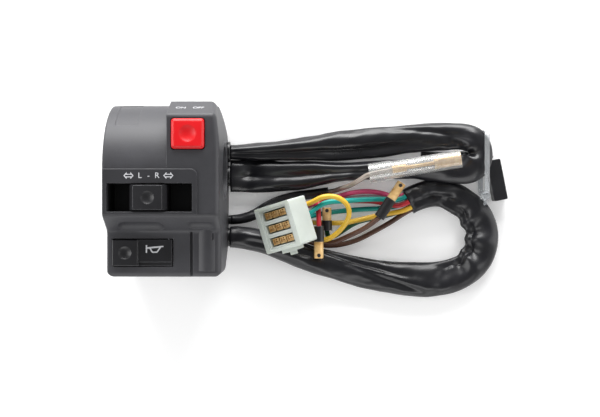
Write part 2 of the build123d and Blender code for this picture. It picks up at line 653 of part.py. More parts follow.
with BuildPart() as turn_switch_frame:
    with BuildSketch(Plane.XY.offset(FRAME_LOW_Z)):
        with Locations(SLOT_CENTRE):
            Rectangle(frame_length, frame_width)
            Rectangle(*frame_inner, mode=Mode.SUBTRACT)
        for offset_x in (-KNOB_TRAVEL, 0, KNOB_TRAVEL):
            with Locations((detent_x + offset_x, detent_wall_y)):
                Circle(DETENT_NOTCH_RADIUS, mode=Mode.SUBTRACT)
    extrude(amount=FRAME_TOP_Z - FRAME_LOW_Z)
    for x, y in frame_ear_places:
        with BuildSketch(Plane.XY.offset(FRAME_EAR_Z - EAR_THICKNESS)):
            with Locations((x, y - SLIDE_GAP)):
                Rectangle(FRAME_EAR_REACH, FRAME_EAR_REACH)
            with Locations((x, y)):
                Circle(SWITCH_SCREW_RADIUS + PIN_GAP, mode=Mode.SUBTRACT)
        extrude(amount=EAR_THICKNESS)
turn_switch_frame.part.label = "turn_switch_frame"
export_step(turn_switch_frame.part, "parts/turn_switch_frame.step")

with BuildPart() as turn_contact_board:
    with BuildSketch(Plane.XY.offset(FRAME_LOW_Z - BOARD_THICKNESS)):
        with Locations(SLOT_CENTRE):
            Rectangle(frame_length, frame_width)
        for share in FIXED_CONTACT_SHARES:
            with Locations((knob_x + share * SLOT_LENGTH, knob_y)):
                Circle(BOARD_HOLE_RADIUS, mode=Mode.SUBTRACT)
    extrude(amount=BOARD_THICKNESS)
turn_contact_board.part.label = "turn_contact_board"
export_step(turn_contact_board.part, "parts/turn_contact_board.step")

with BuildPart() as turn_fixed_contacts:
    for share in FIXED_CONTACT_SHARES:
        with BuildSketch(Plane.XY.offset(FRAME_LOW_Z)):
            with Locations((knob_x + share * SLOT_LENGTH, knob_y)):
                Rectangle(*FIXED_CONTACT_SIZE)
        extrude(amount=CONTACT_THICKNESS)
        with BuildSketch(Plane.XY.offset(FRAME_LOW_Z)):
            with Locations((knob_x + share * SLOT_LENGTH, knob_y)):
                Circle(BOARD_HOLE_RADIUS - PIN_GAP)
        extrude(amount=-BOARD_THICKNESS - CONTACT_THICKNESS)
turn_fixed_contacts.part.label = "turn_fixed_contacts"
export_step(turn_fixed_contacts.part, "parts/turn_fixed_contacts.step")

screws(
    "turn_frame_screws",
    [(x, y, FRAME_EAR_Z - EAR_THICKNESS) for x, y in frame_ear_places],
    SWITCH_HEAD_RADIUS,
    SWITCH_HEAD_HEIGHT,
    SWITCH_SCREW_RADIUS,
    EAR_THICKNESS + WALL,
    SWITCH_CROSS,
)

with BuildPart() as turn_carriage:
    with BuildSketch(Plane.XY.offset(carriage_z)):
        with Locations((knob_x, knob_y)):
            RectangleRounded(CARRIAGE_LENGTH, carriage_width, KNOB_EDGE)
    extrude(amount=carriage_top_z - carriage_z)
    with BuildSketch(Plane.XY.offset(spring_seat_z)):
        with Locations((knob_x, knob_y)):
            Circle(SPRING_RADIUS + SLIDE_GAP)
    extrude(amount=KNOB_PUSH + OVERRUN, mode=Mode.SUBTRACT)
    with BuildSketch(Plane.XY.offset(carriage_z + CONTACT_THICKNESS)):
        with Locations((knob_x, knob_y)):
            Circle(STEM_RADIUS + PIN_GAP)
    extrude(amount=carriage_top_z, mode=Mode.SUBTRACT)
    with BuildSketch(Plane.XZ.offset(-ball_y + DETENT_POCKET)):
        with Locations((detent_x, detent_z)):
            Circle(DETENT_RADIUS + PIN_GAP)
    extrude(amount=-2 * DETENT_POCKET, mode=Mode.SUBTRACT)
turn_carriage.part.label = "turn_carriage"
export_step(turn_carriage.part, "parts/turn_carriage.step")

with BuildPart() as turn_moving_contact:
    with BuildSketch(Plane.XY.offset(moving_contact_z)):
        with Locations((knob_x, knob_y)):
            RectangleRounded(*MOVING_CONTACT_SIZE, KNOB_EDGE)
    extrude(amount=CONTACT_THICKNESS)
turn_moving_contact.part.label = "turn_moving_contact"
export_step(turn_moving_contact.part, "parts/turn_moving_contact.step")

with BuildPart() as turn_detent_ball:
    with Locations((detent_x, ball_y, detent_z)):
        Sphere(DETENT_RADIUS)
turn_detent_ball.part.label = "turn_detent_ball"
export_step(turn_detent_ball.part, "parts/turn_detent_ball.step")

with BuildPart() as turn_detent_spring:
    with BuildSketch(Plane.XZ.offset(-ball_y + DETENT_RADIUS + PIN_GAP)):
        with Locations((detent_x, detent_z)):
            Circle(DETENT_SPRING_RADIUS)
            Circle(DETENT_SPRING_BORE, mode=Mode.SUBTRACT)
    extrude(amount=2 * DETENT_RADIUS - PIN_GAP)
turn_detent_spring.part.label = "turn_detent_spring"
export_step(turn_detent_spring.part, "parts/turn_detent_spring.step")

with BuildPart() as turn_knob:
    with BuildSketch(Plane.XY.offset(knob_base_z)):
        with Locations((knob_x, knob_y)):
            RectangleRounded(*KNOB_BASE, KNOB_EDGE)
    extrude(amount=knob_shoulder_z - knob_base_z)
    with BuildSketch(Plane.XY.offset(knob_shoulder_z)):
        with Locations((knob_x, knob_y)):
            RectangleRounded(*KNOB_BASE, KNOB_EDGE)
    with BuildSketch(Plane.XY.offset(knob_top_z)):
        with Locations((knob_x, knob_y)):
            RectangleRounded(*KNOB_FACE, KNOB_EDGE)
    loft()
    dimple_lift = KNOB_DIMPLE_RADIUS - KNOB_DIMPLE_DEPTH
    with Locations((knob_x, knob_y, knob_top_z + dimple_lift)):
        Sphere(KNOB_DIMPLE_RADIUS, mode=Mode.SUBTRACT)
    with BuildSketch(Plane.XY.offset(knob_base_z)):
        with Locations((knob_x, knob_y)):
            Circle(STEM_RADIUS)
    extrude(amount=-STEM_LENGTH)
turn_knob.part.label = "turn_knob"
export_step(turn_knob.part, "parts/turn_knob.step")

with BuildPart() as turn_knob_spring:
    with BuildSketch(Plane.XY.offset(spring_seat_z)):
        with Locations((knob_x, knob_y)):
            Circle(SPRING_RADIUS)
            Circle(SPRING_RADIUS - SPRING_WALL, mode=Mode.SUBTRACT)
    extrude(amount=knob_base_z - spring_seat_z)
turn_knob_spring.part.label = "turn_knob_spring"
export_step(turn_knob_spring.part, "parts/turn_knob_spring.step")

# Horn switch. The button rocks on a pin near its right end. Its left half is a proud square with a
# dimple, and its right half a wedge that falls away towards the pin.
HORN_BODY_DEPTH = 3.9
HORN_WEDGE_PROUD = (1.4, 0.5)
HORN_LEDGE = 1.5
HORN_EDGE = 0.4
HORN_DIMPLE_RADIUS = 4.6
HORN_DIMPLE_DEPTH = 0.8
HORN_PIN_RADIUS = 1.0
HORN_EAR_RADIUS = 2.2
HORN_LUG_THICKNESS = 1.3
HORN_LUG_GAP = 0.3
HORN_BASE_REACH = 6.1
HORN_CONTACT_SHARE = 0.612
HORN_CONTACT_SIZE = (4.0, 6.0)
HORN_FIXED_SIZE = (2.8, 4.2)
HORN_CONTACT_GAP = 0.9
HORN_SPRING_SHARE = 0.228
HORN_SPRING_RADIUS = 2.4

horn_top_z = DECK_Z + HORN_PROUD
horn_body_z = DECK_Z - HORN_BODY_DEPTH
horn_wedge_high_z = DECK_Z + HORN_WEDGE_PROUD[0]
horn_wedge_low_z = DECK_Z + HORN_WEDGE_PROUD[1]
horn_wedge_low_y = HORN_LOW_Y + HORN_LEDGE
square_right = HORN_LEFT + HORN_SQUARE
square_middle = (HORN_LEFT + HORN_SQUARE / 2, horn_centre[1])
horn_base_right = HORN_RIGHT + HORN_BASE_REACH
horn_arm = HORN_AXIS_X - HORN_LEFT
horn_contact_x = HORN_LEFT + HORN_CONTACT_SHARE * horn_arm
horn_spring_x = HORN_LEFT + HORN_SPRING_SHARE * horn_arm
lug_inner = (HORN_LOW_Y - HORN_LUG_GAP, HORN_TOP_Y + HORN_LUG_GAP)
lug_outer = (lug_inner[0] - HORN_LUG_THICKNESS, lug_inner[1] + HORN_LUG_THICKNESS)

with BuildPart() as horn_button:
    with BuildSketch(Plane.XY.offset(horn_body_z)):
        with Locations(horn_centre):
            Rectangle(*horn_size)
    extrude(amount=horn_wedge_low_z - horn_body_z - HORN_EDGE)
    with BuildSketch(Plane.XY.offset(horn_body_z)) as square:
        with Locations(square_middle):
            Rectangle(HORN_SQUARE, horn_size[1])
    extrude(amount=horn_top_z - horn_body_z)
    fillet(horn_button.faces().sort_by(Axis.Z)[-1].edges(), radius=HORN_EDGE)
    with BuildSketch(Plane.XZ.offset(-horn_wedge_low_y)):
        with BuildLine():
            Polyline(
                (square_right - HORN_EDGE, horn_body_z),
                (HORN_RIGHT, horn_body_z),
                (HORN_RIGHT, horn_wedge_low_z),
                (square_right - HORN_EDGE, horn_wedge_high_z),
                close=True,
            )
        make_face()
    extrude(amount=horn_wedge_low_y - HORN_TOP_Y)
    with Locations((square_middle[0], square_middle[1], horn_top_z + HORN_DIMPLE_RADIUS - HORN_DIMPLE_DEPTH)):
        Sphere(HORN_DIMPLE_RADIUS, mode=Mode.SUBTRACT)
    with BuildSketch(Plane.XZ.offset(-HORN_LOW_Y)):
        with Locations((HORN_AXIS_X, HORN_AXIS_Z)):
            Circle(HORN_EAR_RADIUS)
        with Locations((HORN_AXIS_X, (HORN_AXIS_Z + horn_body_z) / 2)):
            Rectangle(2 * HORN_EAR_RADIUS - 2 * HORN_EDGE, horn_body_z - HORN_AXIS_Z)
    extrude(amount=HORN_LOW_Y - HORN_TOP_Y)
    with BuildSketch(Plane.XZ.offset(-HORN_LOW_Y + OVERRUN)):
        with Locations((HORN_AXIS_X, HORN_AXIS_Z)):
            Circle(HORN_PIN_RADIUS + PIN_GAP)
    extrude(amount=HORN_LOW_Y - HORN_TOP_Y - 2 * OVERRUN, mode=Mode.SUBTRACT)
horn_button.part.label = "horn_button"
export_step(horn_button.part, "parts/horn_button.step")

with BuildPart() as horn_switch_base:
    with BuildSketch(Plane.XY.offset(HORN_BASE_Z)):
        with Locations(((HORN_LEFT + horn_base_right) / 2, horn_centre[1])):
            Rectangle(horn_base_right - HORN_LEFT, lug_outer[1] - lug_outer[0])
        for place in horn_boss_places:
            with Locations(place):
                Circle(SWITCH_SCREW_RADIUS + PIN_GAP, mode=Mode.SUBTRACT)
    extrude(amount=HORN_BASE_THICKNESS)
    for near, far in ((lug_outer[0], lug_inner[0]), (lug_inner[1], lug_outer[1])):
        with BuildSketch(Plane.XZ.offset(-near)):
            with Locations((HORN_AXIS_X, HORN_AXIS_Z)):
                Circle(HORN_EAR_RADIUS)
            with Locations((HORN_AXIS_X, (HORN_AXIS_Z + HORN_BASE_Z) / 2)):
                Rectangle(2 * HORN_EAR_RADIUS, HORN_AXIS_Z - HORN_BASE_Z)
            with Locations((HORN_AXIS_X, HORN_AXIS_Z)):
                Circle(HORN_PIN_RADIUS + PIN_GAP, mode=Mode.SUBTRACT)
        extrude(amount=near - far)
horn_switch_base.part.label = "horn_switch_base"
export_step(horn_switch_base.part, "parts/horn_switch_base.step")

with BuildPart() as horn_hinge_pin:
    with BuildSketch(Plane.XZ.offset(-lug_outer[0])):
        with Locations((HORN_AXIS_X, HORN_AXIS_Z)):
            Circle(HORN_PIN_RADIUS)
    extrude(amount=lug_outer[0] - lug_outer[1])
horn_hinge_pin.part.label = "horn_hinge_pin"
export_step(horn_hinge_pin.part, "parts/horn_hinge_pin.step")

with BuildPart() as horn_moving_contact:
    with BuildSketch(Plane.XY.offset(horn_body_z)):
        with Locations((horn_contact_x, horn_centre[1])):
            RectangleRounded(*HORN_CONTACT_SIZE, HORN_EDGE)
    extrude(amount=-CONTACT_THICKNESS)
horn_moving_contact.part.label = "horn_moving_contact"
export_step(horn_moving_contact.part, "parts/horn_moving_contact.step")

with BuildPart() as horn_fixed_contact:
    with BuildSketch(Plane.XY.offset(horn_deck_z)):
        with Locations((horn_contact_x, horn_centre[1])):
            RectangleRounded(*HORN_FIXED_SIZE, HORN_EDGE)
    extrude(amount=horn_body_z - CONTACT_THICKNESS - HORN_CONTACT_GAP - horn_deck_z)
horn_fixed_contact.part.label = "horn_fixed_contact"
export_step(horn_fixed_contact.part, "parts/horn_fixed_contact.step")

with BuildPart() as horn_spring:
    with BuildSketch(Plane.XY.offset(horn_deck_z)):
        with Locations((horn_spring_x, horn_centre[1])):
            Circle(HORN_SPRING_RADIUS)
            Circle(HORN_SPRING_RADIUS - SPRING_WALL, mode=Mode.SUBTRACT)
    extrude(amount=horn_body_z - horn_deck_z)
horn_spring.part.label = "horn_spring"
export_step(horn_spring.part, "parts/horn_spring.step")

screws(
    "horn_base_screws",
    [(x, y, HORN_BASE_Z) for x, y in horn_boss_places],
    SWITCH_HEAD_RADIUS,
    SWITCH_HEAD_HEIGHT,
    SWITCH_SCREW_RADIUS,
    HORN_BASE_THICKNESS + 2 * WALL,
    SWITCH_CROSS,
)

# Red button and its switch. The button's stem runs in the case and carries the moving contact.
RED_CORNER = 1.2
RED_EDGE = 0.9
RED_SHOULDER_DEPTH = 3.0
RED_SKIRT_DEPTH = 5.0
RED_SKIRT_WALL = 1.3
RED_DIMPLE_RADIUS = 6.5
RED_DIMPLE_DEPTH = 0.9
RED_STEM_RADIUS = 2.5
RED_STEM_REACH = 2.0
RED_CASE_WALL = 1.2
RED_SPRING_RADIUS = 4.2
RED_DISC_RADIUS = 3.2
RED_EAR_LENGTH = 3.6
RED_FIXED_OFFSET = 2.2
RED_FIXED_RADIUS = 0.9
RED_FIXED_LEG = 2.0

red_case_z = RED_CASE_TOP_Z - RED_CASE_HEIGHT
red_shoulder_z = FACE_Z - RED_SHOULDER_DEPTH
red_skirt_z = FACE_Z - RED_SKIRT_DEPTH
red_stem_end_z = RED_CASE_TOP_Z - RED_STEM_REACH
red_x, red_y = RED_CENTRE
red_contact_y = red_y + RED_FIXED_OFFSET

with BuildPart() as red_button:
    with BuildSketch(Plane.XY.offset(red_skirt_z)):
        with Locations(RED_CENTRE):
            RectangleRounded(*RED_SIZE, RED_CORNER)
    extrude(amount=RED_TOP_Z - red_skirt_z)
    chamfer(red_button.faces().sort_by(Axis.Z)[-1].edges(), length=RED_EDGE)
    with BuildSketch(Plane.XY.offset(red_skirt_z)):
        with Locations(RED_CENTRE):
            Rectangle(RED_SIZE[0] - 2 * RED_SKIRT_WALL, RED_SIZE[1] - 2 * RED_SKIRT_WALL)
    extrude(amount=red_shoulder_z - red_skirt_z, mode=Mode.SUBTRACT)
    with BuildSketch(Plane.XY.offset(red_stem_end_z)):
        with Locations(RED_CENTRE):
            Circle(RED_STEM_RADIUS)
    extrude(amount=red_shoulder_z - red_stem_end_z)
    with Locations((red_x, red_y, RED_TOP_Z + RED_DIMPLE_RADIUS - RED_DIMPLE_DEPTH)):
        Sphere(RED_DIMPLE_RADIUS, mode=Mode.SUBTRACT)
red_button.part.label = "red_button"
export_step(red_button.part, "parts/red_button.step")

with BuildPart() as red_button_spring:
    with BuildSketch(Plane.XY.offset(RED_CASE_TOP_Z)):
        with Locations(RED_CENTRE):
            Circle(RED_SPRING_RADIUS)
            Circle(RED_SPRING_RADIUS - SPRING_WALL, mode=Mode.SUBTRACT)
    extrude(amount=red_shoulder_z - RED_CASE_TOP_Z)
red_button_spring.part.label = "red_button_spring"
export_step(red_button_spring.part, "parts/red_button_spring.step")

with BuildPart() as red_moving_contact:
    with BuildSketch(Plane.XY.offset(red_stem_end_z)):
        with Locations(RED_CENTRE):
            Circle(RED_DISC_RADIUS)
    extrude(amount=-CONTACT_THICKNESS)
red_moving_contact.part.label = "red_moving_contact"
export_step(red_moving_contact.part, "parts/red_moving_contact.step")

with BuildPart() as red_switch_case:
    with BuildSketch(Plane.XY.offset(red_case_z)):
        with Locations(RED_CENTRE):
            Rectangle(*RED_CASE_SIZE)
    extrude(amount=RED_CASE_HEIGHT)
    with BuildSketch(Plane.XY.offset(RED_CASE_TOP_Z - EAR_THICKNESS)):
        for x, y in red_ear_places:
            side = 1 if x > red_x else -1
            with Locations((red_x + side * (RED_CASE_SIZE[0] + RED_EAR_LENGTH) / 2, y)):
                Rectangle(RED_EAR_LENGTH, RED_EAR_LENGTH)
    extrude(amount=EAR_THICKNESS)
    with BuildSketch(Plane.XY.offset(red_case_z + RED_CASE_WALL)):
        with Locations(RED_CENTRE):
            Rectangle(RED_CASE_SIZE[0] - 2 * RED_CASE_WALL, RED_CASE_SIZE[1] - 2 * RED_CASE_WALL)
    extrude(amount=RED_CASE_HEIGHT - 2 * RED_CASE_WALL, mode=Mode.SUBTRACT)
    with BuildSketch(Plane.XY.offset(red_case_z + RED_CASE_HEIGHT / 2)):
        with Locations(RED_CENTRE):
            Circle(RED_STEM_RADIUS + PIN_GAP)
    extrude(amount=RED_CASE_HEIGHT, mode=Mode.SUBTRACT)
    with BuildSketch(Plane.XY.offset(red_case_z)):
        for side in (-1, 1):
            with Locations((red_x + side * RED_FIXED_OFFSET, red_contact_y)):
                Circle(RED_FIXED_RADIUS + PIN_GAP)
    extrude(amount=RED_CASE_WALL + PIN_GAP, mode=Mode.SUBTRACT)
    with BuildSketch(Plane.XY.offset(RED_CASE_TOP_Z - EAR_THICKNESS)):
        for place in red_ear_places:
            with Locations(place):
                Circle(SWITCH_SCREW_RADIUS + PIN_GAP)
    extrude(amount=EAR_THICKNESS, mode=Mode.SUBTRACT)
red_switch_case.part.label = "red_switch_case"
export_step(red_switch_case.part, "parts/red_switch_case.step")

with BuildPart() as red_fixed_contacts:
    for side in (-1, 1):
        with BuildSketch(Plane.XY.offset(red_case_z - RED_FIXED_LEG)):
            with Locations((red_x + side * RED_FIXED_OFFSET, red_contact_y)):
                Circle(RED_FIXED_RADIUS)
        extrude(amount=RED_FIXED_LEG + RED_CASE_WALL)
red_fixed_contacts.part.label = "red_fixed_contacts"
export_step(red_fixed_contacts.part, "parts/red_fixed_contacts.step")

screws(
    "red_case_screws",
    [(x, y, RED_CASE_TOP_Z - EAR_THICKNESS) for x, y in red_ear_places],
    SWITCH_HEAD_RADIUS - SLIDE_GAP,
    SWITCH_HEAD_HEIGHT,
    SWITCH_SCREW_RADIUS,
    EAR_THICKNESS + WALL,
    SWITCH_CROSS,
)

# Harness. The folded sleeve leaves the housing, turns back at the cable tie and returns. The looped
# sleeve comes from the lower bush, turns back and ends in an open mouth with the wires. All routes are
# lists of corners; the wires keep clear of each other by their heights.
fold_route = [
    (23.9, -0.7, -16.5),
    (33.0, -0.7, -16.5),
    (48.8, -0.9, -16.5),
    (66.0, 0.6, -16.5),
    (84.5, 1.6, -16.5),
    (103.0, 2.5, -15.9),
    (118.5, 2.2, -12.6),
    (128.4, 2.2, -11.2),
    (132.6, 6.2, -11.0),
    (132.4, 11.8, -11.0),
    (128.4, 15.8, -11.2),
    (118.5, 16.6, -12.8),
    (103.0, 15.7, -15.9),
    (86.0, 13.9, -16.5),
    (69.9, 12.3, -16.5),
    (52.7, 10.9, -16.5),
    (36.1, 9.8, -16.5),
    (23.9, 9.8, -16.5),
]
loop_route = [
    (23.9, -27.5, -15.7),
    (34.0, -27.5, -15.7),
    (50.6, -34.2, -16.0),
    (66.4, -39.4, -16.0),
    (83.0, -43.7, -16.0),
    (98.4, -45.9, -16.0),
    (112.0, -46.6, -16.0),
    (123.5, -44.4, -16.0),
    (131.6, -37.8, -16.0),
    (134.6, -28.8, -16.0),
    (132.6, -19.8, -16.0),
    (127.0, -12.8, -16.0),
    (118.4, -8.4, -16.0),
    (109.0, -8.34, -16.0),
    (101.9, -12.1, -16.0),
]
lead_route = [
    (23.9, -20.0, -18.7),
    (31.0, -20.0, -18.7),
    (41.0, -13.6, -18.7),
    (49.8, -10.2, -18.7),
    (58.5, -8.7, -18.7),
    (67.0, -7.6, -18.7),
]
cord("folded_sleeve", fold_route, FOLD_RADIUS)
cord("looped_sleeve", loop_route, SLEEVE_RADIUS)
cord("thin_lead", lead_route, LEAD_RADIUS)

# Nine-way connector, tilted on the looped sleeve. Its own frame has the back of the block at 0 and the
# opening at its depth.
CONNECTOR_BACK = (51.8, -20.8, -5.6)
CONNECTOR_TURN = 17.0
CONNECTOR_TILT = 33.0
CONNECTOR_SIZE = (18.0, 19.5)
CONNECTOR_DEPTH = 13.0
CONNECTOR_RECESS = (13.8, 17.1)
CONNECTOR_RIM = 0.8
CONNECTOR_ROW = (12.0, 3.9)
CONNECTOR_FLOOR = 4.0
CONNECTOR_EDGE = 0.8
CONNECTOR_PITCH = (3.7, 5.6)
CONNECTOR_GRID = (3, 3)
CONNECTOR_HOLE = 1.15
TERMINAL_BOX = (3.1, 2.7)
TERMINAL_WALL = 0.35
TERMINAL_LENGTH = 11.4
LATCH_WIDTH = 6.0
LATCH_THICKNESS = 1.6
LATCH_LENGTH = 8.0
LATCH_HOOK = 1.2

turn = radians(CONNECTOR_TURN)
tilt = radians(CONNECTOR_TILT)
connector_x = (cos(turn) * cos(tilt), sin(turn) * cos(tilt), sin(tilt))
connector_z = (-cos(turn) * sin(tilt), -sin(turn) * sin(tilt), cos(tilt))
connector_plane = Plane(origin=CONNECTOR_BACK, x_dir=connector_x, z_dir=connector_z)

with BuildPart() as nine_way_connector:
    with BuildSketch(connector_plane):
        RectangleRounded(*CONNECTOR_SIZE, CONNECTOR_EDGE)
    extrude(amount=CONNECTOR_DEPTH)
    with BuildSketch(connector_plane.offset(CONNECTOR_DEPTH - CONNECTOR_RIM)):
        RectangleRounded(*CONNECTOR_RECESS, CONNECTOR_EDGE)
    extrude(amount=CONNECTOR_RIM, mode=Mode.SUBTRACT)
    with BuildSketch(connector_plane.offset(CONNECTOR_FLOOR)):
        with GridLocations(0, CONNECTOR_PITCH[1], 1, CONNECTOR_GRID[1]):
            Rectangle(*CONNECTOR_ROW)
    extrude(amount=CONNECTOR_DEPTH, mode=Mode.SUBTRACT)
    with BuildSketch(connector_plane):
        with GridLocations(*CONNECTOR_PITCH, *CONNECTOR_GRID):
            Circle(CONNECTOR_HOLE)
    extrude(amount=CONNECTOR_DEPTH, mode=Mode.SUBTRACT)
    latch_y = -(CONNECTOR_SIZE[1] + LATCH_THICKNESS) / 2
    with BuildSketch(connector_plane.offset((CONNECTOR_DEPTH - LATCH_LENGTH) / 2)):
        with Locations((0, latch_y)):
            Rectangle(LATCH_WIDTH, LATCH_THICKNESS)
    extrude(amount=LATCH_LENGTH)
    with BuildSketch(connector_plane.offset((CONNECTOR_DEPTH - LATCH_HOOK) / 2)):
        with Locations((0, latch_y - LATCH_THICKNESS)):
            Rectangle(LATCH_WIDTH / 2, LATCH_THICKNESS)
    extrude(amount=LATCH_HOOK)
nine_way_connector.part.label = "nine_way_connector"
export_step(nine_way_connector.part, "parts/nine_way_connector.step")

with BuildPart() as connector_terminals:
    with BuildSketch(connector_plane):
        with GridLocations(*CONNECTOR_PITCH, *CONNECTOR_GRID):
            Circle(WIRE_RADIUS)
    extrude(amount=CONNECTOR_FLOOR)
    with BuildSketch(connector_plane.offset(CONNECTOR_FLOOR)):
        with GridLocations(*CONNECTOR_PITCH, *CONNECTOR_GRID):
            Rectangle(*TERMINAL_BOX)
    extrude(amount=TERMINAL_LENGTH - CONNECTOR_FLOOR)
    with BuildSketch(connector_plane.offset(CONNECTOR_FLOOR + TERMINAL_WALL)):
        with GridLocations(*CONNECTOR_PITCH, *CONNECTOR_GRID):
            Rectangle(TERMINAL_BOX[0] - 2 * TERMINAL_WALL, TERMINAL_BOX[1] - 2 * TERMINAL_WALL)
    extrude(amount=TERMINAL_LENGTH, mode=Mode.SUBTRACT)
connector_terminals.part.label = "connector_terminals"
export_step(connector_terminals.part, "parts/connector_terminals.step")

# Bullet terminals, each with an open tip, and the short sleeve behind each one
BULLET_RADIUS = 2.0
BULLET_BORE = 1.1
BULLET_BORE_DEPTH = 4.0
BULLET_SLEEVE_RADIUS = 2.3
BULLETS = [
    ((98.3, -4.0, -8.6), (93.7, -11.0, -8.6), (88.6, -18.9, -8.6)),
    ((62.6, -36.4, -8.7), (62.6, -29.3, -8.7), (62.6, -22.6, -8.7)),
    ((66.2, -14.6, -13.4), (66.2, -20.2, -13.4), (66.2, -24.6, -13.4)),
]

with BuildPart() as bullet_terminals:
    for tip, back, wire_end in BULLETS:
        along = Vector(*back) - Vector(*tip)
        with BuildSketch(Plane(origin=tip, z_dir=along)):
            Circle(BULLET_RADIUS)
        extrude(amount=along.length)
        with BuildSketch(Plane(origin=tip, z_dir=along)):
            Circle(BULLET_BORE)
        extrude(amount=BULLET_BORE_DEPTH, mode=Mode.SUBTRACT)
bullet_terminals.part.label = "bullet_terminals"
export_step(bullet_terminals.part, "parts/bullet_terminals.step")

with BuildPart() as bullet_sleeves:
    for tip, back, wire_end in BULLETS:
        along = Vector(*wire_end) - Vector(*back)
        with BuildSketch(Plane(origin=back, z_dir=along)):
            Circle(BULLET_SLEEVE_RADIUS)
        extrude(amount=along.length)
bullet_sleeves.part.label = "bullet_sleeves"
export_step(bullet_sleeves.part, "parts/bullet_sleeves.step")

# Clear insulator over its terminal, which the clear wire carries
INSULATOR_START = (84.2, 0.0, -7.2)
INSULATOR_END = (122.9, 6.2, -3.9)
INSULATOR_RADIUS = 3.8
INSULATOR_BORE = 2.9
INSULATOR_FLARE = 4.2
INSULATOR_FLARE_LENGTH = 10.0
CRIMP_START = 10.0
CRIMP_LENGTH = 6.0
CRIMP_RADIUS = 1.6
NECK_RADIUS = 0.8
NECK_LENGTH = 12.0
SOCKET_RADIUS = 2.6
SOCKET_BORE = 1.5
SOCKET_BORE_DEPTH = 8.0

insulator_axis = Vector(*INSULATOR_END) - Vector(*INSULATOR_START)
insulator_plane = Plane(origin=INSULATOR_START, z_dir=insulator_axis)
insulator_length = insulator_axis.length

with BuildPart() as clear_insulator:
    with BuildSketch(insulator_plane):
        Circle(INSULATOR_RADIUS)
    extrude(amount=insulator_length)
    with BuildSketch(insulator_plane):
        Circle(INSULATOR_FLARE)
    extrude(amount=INSULATOR_FLARE_LENGTH)
    with BuildSketch(insulator_plane):
        Circle(INSULATOR_BORE)
    extrude(amount=insulator_length, mode=Mode.SUBTRACT)
clear_insulator.part.label = "clear_insulator"
export_step(clear_insulator.part, "parts/clear_insulator.step")

with BuildPart() as insulated_terminal:
    with BuildSketch(insulator_plane.offset(CRIMP_START)):
        Circle(CRIMP_RADIUS)
    extrude(amount=CRIMP_LENGTH)
    with BuildSketch(insulator_plane.offset(CRIMP_START + CRIMP_LENGTH)):
        Circle(NECK_RADIUS)
    extrude(amount=NECK_LENGTH)
    with BuildSketch(insulator_plane.offset(CRIMP_START + CRIMP_LENGTH + NECK_LENGTH)):
        Circle(SOCKET_RADIUS)
    extrude(amount=insulator_length - CRIMP_START - CRIMP_LENGTH - NECK_LENGTH)
    with BuildSketch(insulator_plane.offset(insulator_length - SOCKET_BORE_DEPTH)):
        Circle(SOCKET_BORE)
    extrude(amount=SOCKET_BORE_DEPTH, mode=Mode.SUBTRACT)
insulated_terminal.part.label = "insulated_terminal"
export_step(insulated_terminal.part, "parts/insulated_terminal.step")

# Small flat connector, and the cable tie round the fold and the connector's lead
SMALL_CENTRE = (141.0, -2.5)
SMALL_SIZE = (6.0, 18.0)
SMALL_HEIGHT = 5.5
SMALL_TURN = 11.0
SMALL_EDGE = 0.6
SMALL_SLOT = (3.6, 2.2)
SMALL_SLOT_DEPTH = 8.0
SMALL_LEAD_RADIUS = 1.2
TIE_X = 133.6
TIE_WIDTH = 2.0
TIE_LOW = (-8.9, -20.9)
TIE_HIGH = (18.8, -5.5)
TIE_THICKNESS = 0.8
TIE_CORNER = 3.5
TIE_HEAD = (3.6, 3.0, 3.2)
TIE_HEAD_Z = -12.6
TIE_TAIL = (1.4, 2.0, 0.8)

small_plane = Plane(origin=(*SMALL_CENTRE, FLOOR_Z + PIN_GAP)).rotated((0, 0, SMALL_TURN))

with BuildPart() as small_connector:
    with BuildSketch(small_plane):
        RectangleRounded(*SMALL_SIZE, SMALL_EDGE)
    extrude(amount=SMALL_HEIGHT)
    with BuildSketch(small_plane.offset((SMALL_HEIGHT - SMALL_SLOT[1]) / 2)):
        with Locations((0, (SMALL_SLOT_DEPTH - SMALL_SIZE[1]) / 2 - OVERRUN / 2)):
            Rectangle(SMALL_SLOT[0], SMALL_SLOT_DEPTH + OVERRUN)
    extrude(amount=SMALL_SLOT[1], mode=Mode.SUBTRACT)
small_connector.part.label = "small_connector"
export_step(small_connector.part, "parts/small_connector.step")

with BuildPart() as cable_tie:
    tie_middle = ((TIE_LOW[0] + TIE_HIGH[0]) / 2, (TIE_LOW[1] + TIE_HIGH[1]) / 2)
    tie_size = (TIE_HIGH[0] - TIE_LOW[0], TIE_HIGH[1] - TIE_LOW[1])
    tie_inner = (tie_size[0] - 2 * TIE_THICKNESS, tie_size[1] - 2 * TIE_THICKNESS)
    with BuildSketch(Plane.YZ.offset(TIE_X)):
        with Locations(tie_middle):
            RectangleRounded(*tie_size, TIE_CORNER)
            RectangleRounded(*tie_inner, TIE_CORNER - TIE_THICKNESS, mode=Mode.SUBTRACT)
    extrude(amount=TIE_WIDTH)
    with BuildSketch(Plane.XY.offset(TIE_HEAD_Z)):
        with Locations((TIE_X + TIE_WIDTH / 2, TIE_LOW[0] + TIE_THICKNESS - TIE_HEAD[1] / 2)):
            Rectangle(TIE_HEAD[0], TIE_HEAD[1])
    extrude(amount=TIE_HEAD[2])
    with BuildSketch(Plane.XY.offset(TIE_HEAD_Z + TIE_HEAD[2] / 2)):
        with Locations((TIE_X + TIE_WIDTH / 2, TIE_LOW[0] - TIE_HEAD[1] + TIE_THICKNESS - TIE_TAIL[1] / 2)):
            Rectangle(TIE_TAIL[0], TIE_TAIL[1] + TIE_THICKNESS)
    extrude(amount=TIE_TAIL[2])
cable_tie.part.label = "cable_tie"
export_step(cable_tie.part, "parts/cable_tie.step")

